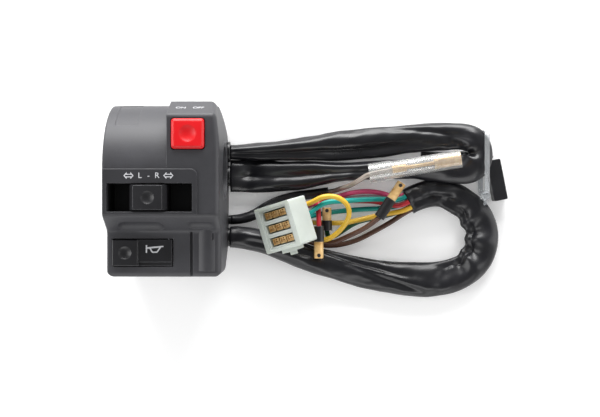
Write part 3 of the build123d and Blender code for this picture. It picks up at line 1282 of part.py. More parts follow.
# Single wires, from the connector's back or a terminal's sleeve to the mouth of the looped sleeve
yellow_loop_route = [
    (53.15, -14.53, -3.61),
    (55.73, -13.74, -7.76),
    (59.6, -12.4, -6.9),
    (64.6, -9.6, -5.8),
    (71.0, -10.0, -5.6),
    (75.6, -14.0, -6.4),
    (75.6, -19.6, -8.6),
    (71.8, -24.8, -11.4),
    (66.6, -28.8, -12.6),
    (62.0, -28.2, -12.9),
    (58.6, -27.2, -10.4),
    (58.76, -24.52, -7.38),
    (56.42, -25.24, -3.61),
]
yellow_route = [
    (103.06, -14.36, -13.45),
    (99.56, -16.22, -13.45),
    (90.0, -17.6, -14.0),
    (82.0, -19.6, -14.2),
    (74.0, -21.4, -15.6),
    (66.0, -21.4, -17.7),
    (58.0, -21.2, -16.6),
    (51.19, -20.98, -11.41),
    (48.85, -21.7, -7.64),
]
magenta_route = [
    (50.18, -15.44, -5.63),
    (52.52, -14.72, -9.4),
    (61.5, -12.9, -14.8),
    (70.0, -10.0, -16.8),
    (80.0, -7.3, -17.2),
    (90.0, -7.8, -16.6),
    (96.68, -10.79, -16.0),
    (100.19, -8.93, -16.0),
]
white_route = [
    (47.21, -16.35, -7.64),
    (49.55, -15.63, -11.41),
    (58.0, -14.2, -17.0),
    (67.0, -12.4, -19.4),
    (80.0, -9.9, -19.7),
    (90.0, -9.9, -19.4),
    (97.18, -11.72, -18.55),
    (100.68, -9.86, -18.55),
]
upper_teal_route = [
    (54.78, -19.89, -3.61),
    (57.12, -19.17, -7.38),
    (60.4, -15.4, -7.8),
    (66.0, -12.0, -8.6),
    (73.0, -11.8, -10.6),
    (81.0, -11.2, -13.8),
    (90.0, -10.8, -14.0),
    (97.18, -11.72, -13.45),
    (100.68, -9.86, -13.45),
]
lower_teal_route = [
    (51.82, -20.8, -5.63),
    (54.16, -20.08, -9.4),
    (60.0, -18.0, -15.5),
    (68.0, -16.6, -18.4),
    (80.0, -15.4, -19.4),
    (90.0, -15.0, -19.5),
    (98.37, -13.97, -19.6),
    (101.87, -12.11, -19.6),
]
upper_brown_route = [
    (88.6, -18.9, -8.6),
    (84.2, -22.8, -10.6),
    (76.0, -27.0, -14.6),
    (67.0, -31.0, -17.0),
    (61.0, -27.6, -16.2),
    (58.02, -24.75, -12.99),
    (53.45, -26.15, -5.63),
]
lower_brown_route = [
    (103.56, -15.3, -16.0),
    (100.05, -17.15, -16.0),
    (95.0, -20.8, -17.8),
    (87.0, -25.4, -19.4),
    (78.0, -30.0, -19.7),
    (67.0, -32.0, -19.8),
    (58.0, -29.6, -17.2),
    (52.83, -26.34, -11.41),
    (50.49, -27.06, -7.64),
]
red_route = [
    (101.87, -12.11, -12.4),
    (98.37, -13.97, -12.4),
    (90.0, -14.4, -13.0),
    (81.0, -14.4, -15.0),
    (73.0, -11.4, -14.6),
    (65.8, -9.6, -12.8),
    (62.2, -12.6, -11.8),
    (62.6, -18.2, -8.9),
    (62.6, -22.6, -8.7),
]
green_route = [
    (103.06, -14.36, -18.55),
    (99.56, -16.22, -18.55),
    (90.0, -18.8, -18.2),
    (80.0, -20.6, -19.2),
    (74.0, -24.4, -19.3),
    (69.6, -27.4, -18.6),
    (66.4, -27.8, -17.2),
    (66.2, -24.6, -13.4),
]
clear_route = [
    (67.03, -7.6, -18.7),
    (69.6, -7.27, -18.7),
    (72.4, -6.2, -15.2),
    (76.0, -5.2, -12.0),
    (80.5, -2.6, -8.8),
    (84.2, 0.0, -7.2),
    (94.04, 1.58, -6.36),
]
small_lead_route = [
    (108.0, 9.2, -19.6),
    (115.0, 8.9, -19.4),
    (122.0, 9.1, -19.2),
    (129.0, 9.4, -18.9),
    (135.0, 9.2, -18.6),
    (139.3, 7.0, -18.25),
]
cord("yellow_loop_wire", yellow_loop_route, WIRE_RADIUS)
cord("yellow_wire", yellow_route, WIRE_RADIUS)
cord("magenta_wire", magenta_route, WIRE_RADIUS)
cord("white_wire", white_route, WIRE_RADIUS)
cord("upper_teal_wire", upper_teal_route, WIRE_RADIUS)
cord("lower_teal_wire", lower_teal_route, WIRE_RADIUS)
cord("upper_brown_wire", upper_brown_route, WIRE_RADIUS)
cord("lower_brown_wire", lower_brown_route, WIRE_RADIUS)
cord("red_wire", red_route, WIRE_RADIUS)
cord("green_wire", green_route, WIRE_RADIUS)
cord("clear_wire", clear_route, WIRE_RADIUS)
cord("small_connector_lead", small_lead_route, SMALL_LEAD_RADIUS)
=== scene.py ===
import bmesh
import bpy
import json
import math
from mathutils import Matrix, Vector, noise


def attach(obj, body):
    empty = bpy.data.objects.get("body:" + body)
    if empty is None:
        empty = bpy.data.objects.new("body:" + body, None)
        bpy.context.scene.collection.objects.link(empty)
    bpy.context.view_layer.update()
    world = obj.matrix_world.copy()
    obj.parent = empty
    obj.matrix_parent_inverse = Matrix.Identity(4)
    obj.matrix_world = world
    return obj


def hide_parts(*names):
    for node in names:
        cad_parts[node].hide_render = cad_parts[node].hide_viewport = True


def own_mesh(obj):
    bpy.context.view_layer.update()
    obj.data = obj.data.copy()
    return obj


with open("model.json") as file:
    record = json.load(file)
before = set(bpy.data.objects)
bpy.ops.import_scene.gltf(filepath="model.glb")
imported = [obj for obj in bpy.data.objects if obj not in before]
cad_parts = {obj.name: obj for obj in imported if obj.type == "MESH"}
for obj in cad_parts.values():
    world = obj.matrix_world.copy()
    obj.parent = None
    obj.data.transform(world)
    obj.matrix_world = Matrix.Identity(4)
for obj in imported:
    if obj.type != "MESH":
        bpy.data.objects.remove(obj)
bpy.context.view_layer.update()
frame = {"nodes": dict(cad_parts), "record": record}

# The camera looks straight down at the cluster, which lies on its flat back with the bore for the handlebar
# running left to right, as in the photograph. Its lengths are in metres, and its lens is in millimetres.
CAMERA_PLACE = (0.0545, -0.0150, 0.3790)
CAMERA_LENS = 54.0
CAMERA_SENSOR = 36.0
CAMERA_NEAREST = 0.01
camera_data = bpy.data.cameras.new("camera")
camera_data.sensor_width = CAMERA_SENSOR
camera_data.lens = CAMERA_LENS
camera_data.clip_start = CAMERA_NEAREST
camera = bpy.data.objects.new("camera", camera_data)
camera.location = CAMERA_PLACE
bpy.context.collection.objects.link(camera)
bpy.context.scene.camera = camera
bpy.context.scene.view_settings.view_transform = "Standard"

# The housing: two halves of moulded black nylon that two screws pull together round the bar. The rear half
# carries the controls. Sizes from here on are in millimetres, and MM turns them to the scene's metres.
MM = 0.001
PANEL_TOP = 29.0
# Between these heights in millimetres the housing's colour is painted darker: painted shade on its raised
# panel.
DARKENS_FROM = 27.45
DARKEST_AT = 31.37


def srgb(text):
    """A linear colour from an sRGB hex text."""
    parts = [int(text[i:i + 2], 16) / 255 for i in (0, 2, 4)]
    return tuple(((p + 0.055) / 1.055) ** 2.4 if p > 0.04045 else p / 12.92 for p in parts) + (1.0,)


def add(tree, kind, inputs=None, **fields):
    """One shader node with its fields and its constant or linked inputs."""
    node = tree.nodes.new(kind)
    for key, value in fields.items():
        setattr(node, key, value)
    for key, value in (inputs or {}).items():
        socket = node.inputs[key]
        if isinstance(value, bpy.types.NodeSocket):
            tree.links.new(value, socket)
        else:
            socket.default_value = value
    return node


CLOUD_WIDTH = 16.67
RELIEF_HEIGHT = 0.4
PLASTIC_IOR = 1.46
COAT_ROUGHNESS = 0.12
PLAIN_SHINE = 0.5
DARK_SHINE = 0.05
# How far the rounded edges are painted lighter, as a painted highlight, between two facings of their rounded
# normal to the face.
EDGE_FACINGS = (0.80, 0.97)
EDGE_HIGHLIGHT = 0.8
SOFT_REACH = (0.004, 0.004, 0.003)


def surface(name, colours, rough, grain, relief, metal=0.0, clouds=CLOUD_WIDTH, edge=0.0, edge_highlight_colour=None,
            painted_shade_colour=None, coat=0.0, clear=0.0, soft=0.0):
    """A material. Its colour drifts between two sRGB hex values, and its roughness between two values, in
    clouds of a width in millimetres. Its relief has grains of a width in millimetres, as coarse as they need
    to show, because real ones are finer. Edges are rounded by a width in millimetres, and painted lighter
    towards a given colour as a painted highlight. With height, from DARKENS_FROM to DARKEST_AT, the colour
    turns to a given darker one, as painted shade."""
    material = bpy.data.materials.new(name)
    material.use_nodes = True
    tree = material.node_tree
    tree.nodes.clear()
    place = add(tree, "ShaderNodeTexCoord").outputs["Object"]
    drift = add(tree, "ShaderNodeTexNoise", {
        "Vector": place, "Scale": 1 / (clouds * MM), "Detail": 5.0, "Roughness": 0.6,
    }).outputs["Fac"]
    grains = add(tree, "ShaderNodeTexNoise", {
        "Vector": place, "Scale": 1 / (grain * MM), "Detail": 3.0, "Roughness": 0.65,
    }).outputs["Fac"]
    part = add(tree, "ShaderNodeMapRange", {
        "Value": drift, "From Min": 0.3, "From Max": 0.7,
    }).outputs["Result"]
    colour = add(tree, "ShaderNodeMix", {
        0: part, 6: srgb(colours[0]), 7: srgb(colours[1]),
    }, data_type="RGBA").outputs[2]
    roughness = add(tree, "ShaderNodeMapRange", {
        "Value": drift, "From Min": 0.25, "From Max": 0.75, "To Min": rough[0], "To Max": rough[1],
    }).outputs["Result"]
    shader = add(tree, "ShaderNodeBsdfPrincipled", {
        "Roughness": roughness, "Metallic": metal, "Coat Weight": coat, "Coat Roughness": COAT_ROUGHNESS,
        "Transmission Weight": clear,
    })
    if not metal:
        shader.inputs["IOR"].default_value = PLASTIC_IOR
    # Painted shade: the colour is painted darker with height, and the shine drops.
    if painted_shade_colour:
        height = add(tree, "ShaderNodeSeparateXYZ", {"Vector": place}).outputs["Z"]
        painted_shade_share = add(tree, "ShaderNodeMapRange", {
            "Value": height, "From Min": DARKENS_FROM * MM, "From Max": DARKEST_AT * MM,
        }).outputs["Result"]
        colour = add(tree, "ShaderNodeMix", {
            0: painted_shade_share, 6: colour, 7: srgb(painted_shade_colour),
        }, data_type="RGBA").outputs[2]
        shine = add(tree, "ShaderNodeMapRange", {"Value": painted_shade_share, "To Min": PLAIN_SHINE, "To Max": DARK_SHINE})
        tree.links.new(shine.outputs["Result"], shader.inputs["Specular IOR Level"])
    shape = {"Height": grains, "Strength": relief, "Distance": RELIEF_HEIGHT * MM}
    # Painted highlight: where the rounded normal turns away from the face, the colour is painted lighter.
    if edge:
        rounded = add(tree, "ShaderNodeBevel", {"Radius": edge * MM}, samples=6).outputs["Normal"]
        shape["Normal"] = rounded
        flat = add(tree, "ShaderNodeNewGeometry").outputs["True Normal"]
        facing = add(tree, "ShaderNodeVectorMath", {0: rounded, 1: flat}, operation="DOT_PRODUCT")
        edge_highlight_share = add(tree, "ShaderNodeMapRange", {
            "Value": facing.outputs["Value"], "From Min": EDGE_FACINGS[0], "From Max": EDGE_FACINGS[1],
            "To Min": EDGE_HIGHLIGHT, "To Max": 0.0,
        }).outputs["Result"]
        colour = add(tree, "ShaderNodeMix", {
            0: edge_highlight_share, 6: colour, 7: srgb(edge_highlight_colour),
        }, data_type="RGBA").outputs[2]
    bump = add(tree, "ShaderNodeBump", shape)
    tree.links.new(bump.outputs["Normal"], shader.inputs["Normal"])
    tree.links.new(colour, shader.inputs["Base Color"])
    if soft:
        shader.inputs["Subsurface Weight"].default_value = soft
        shader.inputs["Subsurface Radius"].default_value = SOFT_REACH
        shader.inputs["Subsurface Scale"].default_value = 1.0
    add(tree, "ShaderNodeOutputMaterial", {"Surface": shader.outputs["BSDF"]})
    return material


looks = {}


def dress(slot, material):
    """Gives every CAD node of a slot its material, and keeps it for the pieces that this file adds."""
    looks[slot] = material
    for entry in frame["record"]["subparts"]:
        if entry["material_slot"] == slot:
            mesh = frame["nodes"][entry["node"]].data
            mesh.materials.clear()
            mesh.materials.append(material)


# Glass-filled nylon from a spark-eroded mould: satin, with a fine grain, and a painted highlight along its
# rounded edges. The colour is painted darker with height, as painted shade on the raised panel round the
# signal knob, which also shines less.
dress("housing", surface("moulded_black", ("333336", "3c3c40"), rough=(0.44, 0.54), grain=0.385, relief=0.09,
                         edge=0.3, edge_highlight_colour="66666a", painted_shade_colour="0b0b0d"))

# The marks on the panel: white ink, pad-printed after moulding. A hollow double arrow and a letter stand at
# each side of the middle, and all of them sit just proud of the plastic.
PRINT_DEPTH = 0.06
PRINT_LIFT = 0.02
SIGNAL_MARKS_Y = -2.2
ARROW_PLACES = {"left_arrow_mark": -12.2, "right_arrow_mark": 3.3}
LETTER_PLACES = {
    "left_letter_mark": ("L", -7.8),
    "middle_dot_mark": ("-", -4.45),
    "right_letter_mark": ("R", -1.1),
}
LETTER_SIZE = 3.1
ARROW = [(-1.95, 0), (-0.75, 1.35), (-0.75, 0.65), (0.75, 0.65), (0.75, 1.35), (1.95, 0), (0.75, -1.35),
         (0.75, -0.65), (-0.75, -0.65), (-0.75, -1.35)]
ARROW_HOLE = [(-1.5, 0), (-1.05, 0.5), (-1.05, 0.35), (1.05, 0.35), (1.05, 0.5), (1.5, 0), (1.05, -0.5),
              (1.05, -0.35), (-1.05, -0.35), (-1.05, -0.5)]
# Dull white ink, a little grey because the black shows through.
white_print = surface("white_print", ("b4b5b8", "c8c9cc"), rough=(0.45, 0.6), grain=0.4, relief=0.05)


def piece(name, data, slot, body, look=None):
    """An object at the origin that rides on a body, in its slot's material or in a look of its own."""
    obj = bpy.data.objects.new(name, data)
    bpy.context.collection.objects.link(obj)
    data.materials.append(look or looks[slot])
    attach(obj, body)
    return obj


def mesh_of(name, data, place):
    """The mesh of a curve or a text, moved to its place."""
    probe = bpy.data.objects.new(name + "_probe", data)
    bpy.context.collection.objects.link(probe)
    bpy.context.view_layer.update()
    mesh = bpy.data.meshes.new_from_object(probe)
    bpy.data.objects.remove(probe)
    mesh.transform(place)
    mesh.materials.clear()
    return mesh


def printed_outline(name, rings, place, slot, body):
    """A printed mark from closed outlines in millimetres. An outline inside another is a hole."""
    data = bpy.data.curves.new(name, "CURVE")
    data.dimensions = "2D"
    data.fill_mode = "BOTH"
    data.extrude = PRINT_DEPTH * MM / 2
    for ring in rings:
        line = data.splines.new("POLY")
        line.points.add(len(ring) - 1)
        for point, (x, y) in zip(line.points, ring):
            point.co = (x * MM, y * MM, 0, 1)
        line.use_cyclic_u = True
    piece(name, mesh_of(name, data, place), slot, body, white_print)


def printed_words(name, words, size, place, slot, body):
    """Printed lettering, centred on its place."""
    data = bpy.data.curves.new(name, "FONT")
    data.body = words
    data.size = size * MM
    data.align_x = "CENTER"
    data.align_y = "CENTER"
    data.extrude = PRINT_DEPTH * MM / 2
    piece(name, mesh_of(name, data, place), slot, body, white_print)


def moved(x, y, z):
    """The matrix that moves a mesh to a place in millimetres."""
    return Matrix.Translation(Vector((x, y, z)) * MM)


for name, x in ARROW_PLACES.items():
    place = moved(x, SIGNAL_MARKS_Y, PANEL_TOP + PRINT_LIFT)
    printed_outline(name, [ARROW, ARROW_HOLE], place, "housing", "housing")
for name, (words, x) in LETTER_PLACES.items():
    place = moved(x, SIGNAL_MARKS_Y, PANEL_TOP + PRINT_LIFT)
    printed_words(name, words, LETTER_SIZE, place, "housing", "housing")

# The screws that hold the halves, the switch frame, the horn's base and the red button's case: steel with a
# zinc plating, which is grey and a little uneven.
dress("zinc_screws", surface("zinc", ("8d8c86", "a5a49e"), rough=(0.25, 0.42), grain=0.4, relief=0.06,
                             metal=1.0))

# The signal switch: a dished knob of smooth black ABS on a sliding carriage of plain dark nylon, over a board
# with brass contacts. A steel coil pushes the knob back up when it has been pressed to cancel the signal.
KNOB_SPRING = {"centre": (-4.7, -10.7), "radius": 3.5, "low": 18.4, "high": 22.7, "turns": 4, "press": 2.0}
SPRING_WIRE = 0.35
COIL_STEPS = 24
# ABS from a polished mould: deeper black and shinier than the housing, with a painted highlight along its
# edges. The horn button
# and the small plug are of the same plastic.
dress("knob_plastic", surface("smooth_black", ("151517", "1d1d20"), rough=(0.3, 0.4), grain=0.667,
                              relief=0.03, edge=0.3, edge_highlight_colour="76767a"))
# Nylon from a plain mould: dark and dull, so the inside of a slot stays quiet.
dress("inner_plastic", surface("plain_dark_grey", ("1a1a1c", "242426"), rough=(0.5, 0.6), grain=0.556,
                               relief=0.05))
# Drawn and ground steel: bright and smooth.
dress("spring_steel", surface("steel", ("85868a", "a2a3a6"), rough=(0.22, 0.36), grain=0.4, relief=0.05,
                              metal=1.0))
# Stamped brass that has dulled: warm and pale, with blotches a few millimetres wide and hardly a mirror.
dress("brass_contacts", surface("dull_brass", ("c2934f", "eecd94"), rough=(0.3, 0.5), grain=0.556,
                                relief=0.15, metal=0.25, clouds=2.63))


def coil(node, joint, body, centre, radius, low, high, turns, press):
    """A compression spring between two heights that stands for a CAD node. Its joint and press are not used."""
    steps = turns * COIL_STEPS
    data = bpy.data.curves.new(node, "CURVE")
    data.dimensions = "3D"
    data.bevel_depth = SPRING_WIRE * MM
    data.bevel_resolution = 3
    data.use_fill_caps = True
    line = data.splines.new("POLY")
    line.points.add(steps)
    reach = radius - SPRING_WIRE
    for index, point in enumerate(line.points):
        angle = math.tau * turns * index / steps
        height = low + SPRING_WIRE + (high - low - 2 * SPRING_WIRE) * index / steps
        point.co = ((centre[0] + reach * math.cos(angle)) * MM, (centre[1] + reach * math.sin(angle)) * MM,
                    height * MM, 1.0)
    spring = piece(node + "_visual", mesh_of(node, data, Matrix.Identity(4)), "spring_steel", body)
    for face in spring.data.polygons:
        face.use_smooth = len(face.vertices) == 4
    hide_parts(node)
    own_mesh(spring)


coil("turn_knob_spring", "turn_push", "turn_knob", **KNOB_SPRING)

# The horn button: a wedge of the same smooth black ABS that rocks on a hidden pin, over a leaf contact and a
# small coil. A white horn is printed on its sloping top.
HORN_SPRING = {"centre": (-15.4, -32.7), "radius": 2.4, "low": 7.5, "high": 14.6, "turns": 6, "press": 0.9}
HORN_SLOPE = 3.8
HORN_MARK_PLACE = (-3.6, -31.2, 19.49)
HORN_MARK = [(-3.5, 1.6), (-2.9, 1.6), (-2.9, 0.75), (3.5, 1.3), (3.5, 0.8), (2.6, 0.65), (1.5, -1.0),
             (1.0, -1.5), (-0.9, -1.5), (-1.4, -1.0), (-2.0, 0.15), (-2.9, 0.1), (-2.9, -1.5), (-3.5, -1.5)]
HORN_MARK_HOLE = [(-1.4, 0.25), (1.9, 0.55), (1.0, -0.75), (0.7, -1.0), (-0.6, -1.0), (-0.9, -0.75)]
coil("horn_spring", "horn_rock", "horn_button", **HORN_SPRING)
place = moved(*HORN_MARK_PLACE) @ Matrix.Rotation(math.radians(HORN_SLOPE), 4, "Y")
printed_outline("horn_mark", [HORN_MARK, HORN_MARK_HOLE], place, "knob_plastic", "horn_button")

# The red button: a square cap with a round dish, moulded in red ABS and pushed against a coil. Its two states
# are printed on the slanting strip above it.
RED_SPRING = {"centre": (10.7, 14.2), "radius": 4.2, "low": 18.2, "high": 25.0, "turns": 5, "press": 3.0}
STRIP_SLOPE = 63.8
STATE_PLACES = {"on_mark": ("ON", 7.2), "off_mark": ("OFF", 14.2)}
STATE_Y = 25.0
STATE_Z = 21.95
STATE_SIZE = 2.6
# Red ABS with a soft shine, and wide rounded edges painted a lighter red as a painted highlight.
dress("red_plastic", surface("red_plastic", ("c6030d", "d20612"), rough=(0.34, 0.44), grain=0.625,
                             relief=0.02, edge=1.0, edge_highlight_colour="f2463c"))
coil("red_button_spring", "red_push", "red_button", **RED_SPRING)
for name, (words, x) in STATE_PLACES.items():
    place = moved(x, STATE_Y, STATE_Z) @ Matrix.Rotation(math.radians(-STRIP_SLOPE), 4, "X")
    printed_words(name, words, STATE_SIZE, place, "housing", "housing")

# The glands where sleeves and lead leave the housing, and the short sleeves on the bullets: soft black PVC
# that is pushed on, so it is smooth, with a painted highlight along its rims.
dress("soft_black", surface("soft_black", ("101011", "19191b"), rough=(0.24, 0.38), grain=0.833, relief=0.06,
                            edge=0.3, edge_highlight_colour="6c6c70"))

# The sleeves of the harness: thin black vinyl tube, extruded, glossy, and so limp that it lies flat and
# creases where it turns. Each is a mesh tube that follows the NURBS line of its route. The folded sleeve goes
# out of the housing, turns back at the cable tie and goes in again.
RING_STEP = 0.8
RING_SIDES = 64
FLAT_SHARE = 0.55
LEAST_HEIGHT_SHARE = 0.62
END_RUN = 3.0
MOUTH_LIFT_SHARE = 0.3
FOLD_RISE = 0.6
# Each swell of the skin is its height, how fast it changes along the sleeve, and how fast round it.
WIDE_SWELL = (0.5, 0.05, 1.2)
SMALL_SWELL = (0.16, 0.2, 2.2)
SMALL_SWELL_TWIST = 1.1
FOLD_DIAMETER = 9.0
FOLD_ROUTE = [
    (23.9, -0.7, -16.5), (33, -0.7, -16.5), (48.8, -0.9, -16.5), (66, 0.6, -16.5), (84.5, 1.6, -16.5),
    (103, 2.5, -15.9), (118.5, 2.2, -12.6), (128.4, 2.2, -11.2), (132.6, 6.2, -11), (132.4, 11.8, -11),
    (128.4, 15.8, -11.2), (118.5, 16.6, -12.8), (103, 15.7, -15.9), (86, 13.9, -16.5), (69.9, 12.3, -16.5),
    (52.7, 10.9, -16.5), (36.1, 9.8, -16.5), (23.9, 9.8, -16.5),
]
FOLD_WIDTHS = [(0, 7.1), (0.05, 7.2), (0.12, 6.6), (0.23, 4.0), (0.34, 4.4), (0.41, 5.8), (0.46, 6.7),
               (0.5, 5.4), (0.54, 6.0), (0.6, 6.2), (0.66, 6.2), (0.72, 6.8), (0.78, 6.6), (0.85, 5.2),
               (0.93, 4.2), (1.0, 3.2)]
FOLD_FOLDS = [(-0.05, 0.32, 128, 118, 20, 1.0), (-0.02, 0.28, 90, 84, 15, -1.3),
              (0.02, 0.34, 52, 60, 22, 0.7), (0.3, 0.5, 70, 110, 26, 0.6), (0.55, 1.0, 62, 72, 26, 0.9),
              (0.6, 1.02, 118, 108, 15, -1.5), (0.6, 1.0, 150, 150, 18, 0.7), (0.52, 0.7, 95, 40, 12, -0.8)]
FOLD_CREASES = [(0.035, 100, 55, 3.4, 1.6, -1.8), (0.075, 88, 46, 4.0, -2.2, 0.8),
                (0.44, 125, 56, 3.8, 3.0, -1.8), (0.475, 105, 50, 3.0, 1.2, 0.7),
                (0.5, 135, 56, 3.4, -0.6, -1.9), (0.53, 105, 50, 3.0, -1.4, 0.7),
                (0.565, 125, 56, 3.8, -3.0, -1.8)]
# Soft vinyl: near black, with long glossy streaks along its folds.
dress("sleeve_vinyl", surface("black_vinyl", ("121215", "1b1b1f"), rough=(0.25, 0.36), grain=1.43,
                              relief=0.03))


def scaled(point):
    return tuple(value * MM for value in point)


def spline(name, route, radius=0.0):
    """A curve of one open spline with the route's corners as control points, and a round section."""
    data = bpy.data.curves.new(name, "CURVE")
    data.dimensions = "3D"
    data.resolution_u = 10
    data.bevel_depth = radius * MM
    data.bevel_resolution = 6
    data.use_fill_caps = True
    line = data.splines.new("NURBS")
    line.points.add(len(route) - 1)
    for point, corner in zip(line.points, route):
        point.co = scaled(corner) + (1.0,)
    line.order_u = 3
    line.use_endpoint_u = True
    return data


def followed(data):
    """The points of a curve without bevel, in metres, and its length."""
    probe = bpy.data.objects.new("probe", data)
    mesh = bpy.data.meshes.new_from_object(probe)
    points = [v.co.copy() for v in mesh.vertices]
    bpy.data.objects.remove(probe)
    bpy.data.meshes.remove(mesh)
    return points, sum((there - here).length for here, there in zip(points, points[1:]))


def skin_lift(folds, creases, share, angle, length):
    """How far a sleeve's skin stands out, in millimetres. A fold is (start share, end share, angle there,
    angle at the end, half spread, lift), a crease (share, angle, half spread, half width, lean, lift)."""
    total = 0.0
    for start, end, near, far, spread, lift in folds:
        if start < share < end:
            part = (share - start) / (end - start)
            swing = math.remainder(angle - math.radians(near + (far - near) * part), math.tau)
            rise = math.sin(math.pi * part) ** FOLD_RISE
            total += lift * rise * math.exp(-(swing / math.radians(spread)) ** 2)
    for place, middle, spread, width, lean, lift in creases:
        swing = math.remainder(angle - math.radians(middle), math.tau)
        off = (share - place) * length / MM - lean * swing
        total += lift * math.exp(-(off / width) ** 2 - (swing / math.radians(spread)) ** 2)
    return total


def half_width(widths, share):
    """A sleeve's half width at a share of its length, from a list of (share, half width)."""
    for (start, before), (end, after) in zip(widths, widths[1:]):
        if share <= end:
            part = (share - start) / (end - start)
            return before + (after - before) * part * part * (3 - 2 * part)
    return widths[-1][1]


def sleeve(node, route, diameter, widths, folds, creases, seed):
    """A thin sleeve that stands for a CAD node. It is flattened and folded, and lies with its underside where
    the round tube would."""
    radius = diameter / 2
    points, length = followed(spline(node + "_visual_line", route))
    line = [points[0]]
    for here, there in zip(points, points[1:]):
        count = max(1, round((there - here).length / (RING_STEP * MM)))
        line += [here.lerp(there, (i + 1) / count) for i in range(count)]
    mesh = bmesh.new()
    rings = []
    gone = 0.0
    for index, here in enumerate(line):
        ahead = line[min(index + 1, len(line) - 1)]
        behind = line[max(index - 1, 0)]
        if index:
            gone += (here - line[index - 1]).length
        share = gone / length
        along = (ahead - behind).normalized()
        side = along.cross(Vector((0, 0, 1))).normalized()
        up = side.cross(along)
        wide = half_width(widths, share)
        high = max(radius * LEAST_HEIGHT_SHARE, radius - abs(wide - radius) * FLAT_SHARE)
        drop = Vector((0, 0, (high - radius) * MM))
        run = gone / MM
        still = min(1.0, run / END_RUN, (length - gone) / MM / END_RUN + MOUTH_LIFT_SHARE)
        ring = []
        for k in range(RING_SIDES):
            angle = math.tau * k / RING_SIDES
            outward = math.cos(angle)
            upward = math.sin(angle)
            height, pace, turn = WIDE_SWELL
            swell = noise.noise(Vector((run * pace + seed, outward * turn, upward * turn))) * height
            height, pace, turn = SMALL_SWELL
            twisted = run * pace + outward * SMALL_SWELL_TWIST
            swell += noise.noise(Vector((twisted, outward * turn + seed, upward * turn))) * height
            lift = (swell + skin_lift(folds, creases, share, angle, length)) * still
            x = outward * (wide + lift)
            z = max(upward * (high + lift), -high)
            ring.append(mesh.verts.new(here + side * (x * MM) + up * (z * MM) + drop))
        rings.append(ring)
    for first, second in zip(rings, rings[1:]):
        for k in range(RING_SIDES):
            around = (k + 1) % RING_SIDES
            mesh.faces.new((first[k], first[around], second[around], second[k]))
    mesh.faces.new(rings[0][::-1])
    mesh.faces.new(rings[-1])
    bmesh.ops.recalc_face_normals(mesh, faces=mesh.faces)
    data = bpy.data.meshes.new(node + "_visual")
    mesh.to_mesh(data)
    mesh.free()
    for face in data.polygons:
        face.use_smooth = len(face.vertices) == 4
    made = piece(node + "_visual", data, "sleeve_vinyl", "housing")
    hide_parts(node)


sleeve("folded_sleeve", FOLD_ROUTE, FOLD_DIAMETER, FOLD_WIDTHS, FOLD_FOLDS, FOLD_CREASES, seed=3.1)

# The looped sleeve carries the wires. It is the same vinyl in a wider size, turns back on itself in a loop,
# where it is creased most, and lets the wires out at its open mouth.
LOOP_DIAMETER = 10.0
LOOP_ROUTE = [
    (23.9, -27.5, -15.7), (34, -27.5, -15.7), (50.6, -34.2, -16), (66.4, -39.4, -16), (83, -43.7, -16),
    (98.4, -45.9, -16), (112, -46.6, -16), (123.5, -44.4, -16), (131.6, -37.8, -16), (134.6, -28.8, -16),
    (132.6, -19.8, -16), (127, -12.8, -16), (118.4, -8.4, -16), (109, -8.34, -16), (101.9, -12.1, -16),
]
LOOP_WIDTHS = [(0, 4.6), (0.07, 5.0), (0.16, 5.5), (0.26, 5.9), (0.42, 6.9), (0.54, 7.7), (0.62, 7.6),
               (0.73, 7.9), (0.79, 7.8), (0.85, 6.9), (0.92, 6.0), (1.0, 5.8)]
LOOP_FOLDS = [(0.02, 0.28, 112, 62, 20, 0.9), (0.04, 0.26, 76, 112, 16, -1.1), (0.2, 0.5, 168, 92, 15, -1.9),
              (0.24, 0.57, 146, 66, 16, 1.2), (0.3, 0.53, 122, 52, 12, -1.3), (0.4, 0.78, 60, 78, 28, 0.9),
              (0.55, 0.9, 142, 120, 14, -1.0), (0.62, 0.95, 40, 52, 22, 0.6), (0.84, 1.03, 90, 118, 14, -1.2)]
LOOP_CREASES = [(0.585, 120, 50, 3.2, 3.2, -1.5), (0.64, 138, 62, 3.6, 2.4, -2.6),
                (0.668, 100, 40, 2.6, 2.0, 0.8), (0.7, 142, 66, 3.8, 1.4, -2.9),
                (0.733, 96, 42, 2.6, 0.5, 0.9), (0.765, 140, 66, 3.8, -0.8, -3.0),
                (0.797, 100, 40, 2.6, -1.4, 0.8), (0.828, 136, 60, 3.4, -1.8, -2.3),
                (0.885, 105, 48, 3.0, 3.4, -1.8), (0.94, 84, 46, 2.6, -2.6, -1.6),
                (0.985, 96, 44, 2.4, 1.5, -1.2)]
sleeve("looped_sleeve", LOOP_ROUTE, LOOP_DIAMETER, LOOP_WIDTHS, LOOP_FOLDS, LOOP_CREASES, seed=8.4)

# The thin lead: a narrow sleeve of the same vinyl, which comes out of the housing between the other two. It
# ends near the plug, where the clear wire leaves it.
LEAD_DIAMETER = 4.0
LEAD_ROUTE = [
    (23.9, -20, -18.7), (31, -20, -18.7), (41, -13.6, -18.7), (49.8, -10.2, -18.7), (58.5, -8.7, -18.7),
    (67, -7.6, -18.7),
]
LEAD_WIDTHS = [(0, 2.1), (0.5, 2.5), (1.0, 2.1)]
LEAD_FOLDS = [(0.0, 0.6, 70, 110, 20, 0.3), (0.2, 1.0, 120, 80, 16, -0.4)]
LEAD_CREASES = [(0.3, 90, 60, 1.2, 0.6, -0.4)]
sleeve("thin_lead", LEAD_ROUTE, LEAD_DIAMETER, LEAD_WIDTHS, LEAD_FOLDS, LEAD_CREASES, seed=5.5)

# The cable tie and the clear insulator. The tie is moulded in natural nylon, and pulled tight round the fold
# of the sleeve. The insulator is a soft vinyl tube that is pushed over a crimped terminal.
# Natural nylon: nearly clear, with a cold cloudy white.
dress("clear_nylon", surface("clear_nylon", ("d5d9dc", "e6e8ea"), rough=(0.12, 0.22), grain=0.667,
                             relief=0.04, clear=0.8))
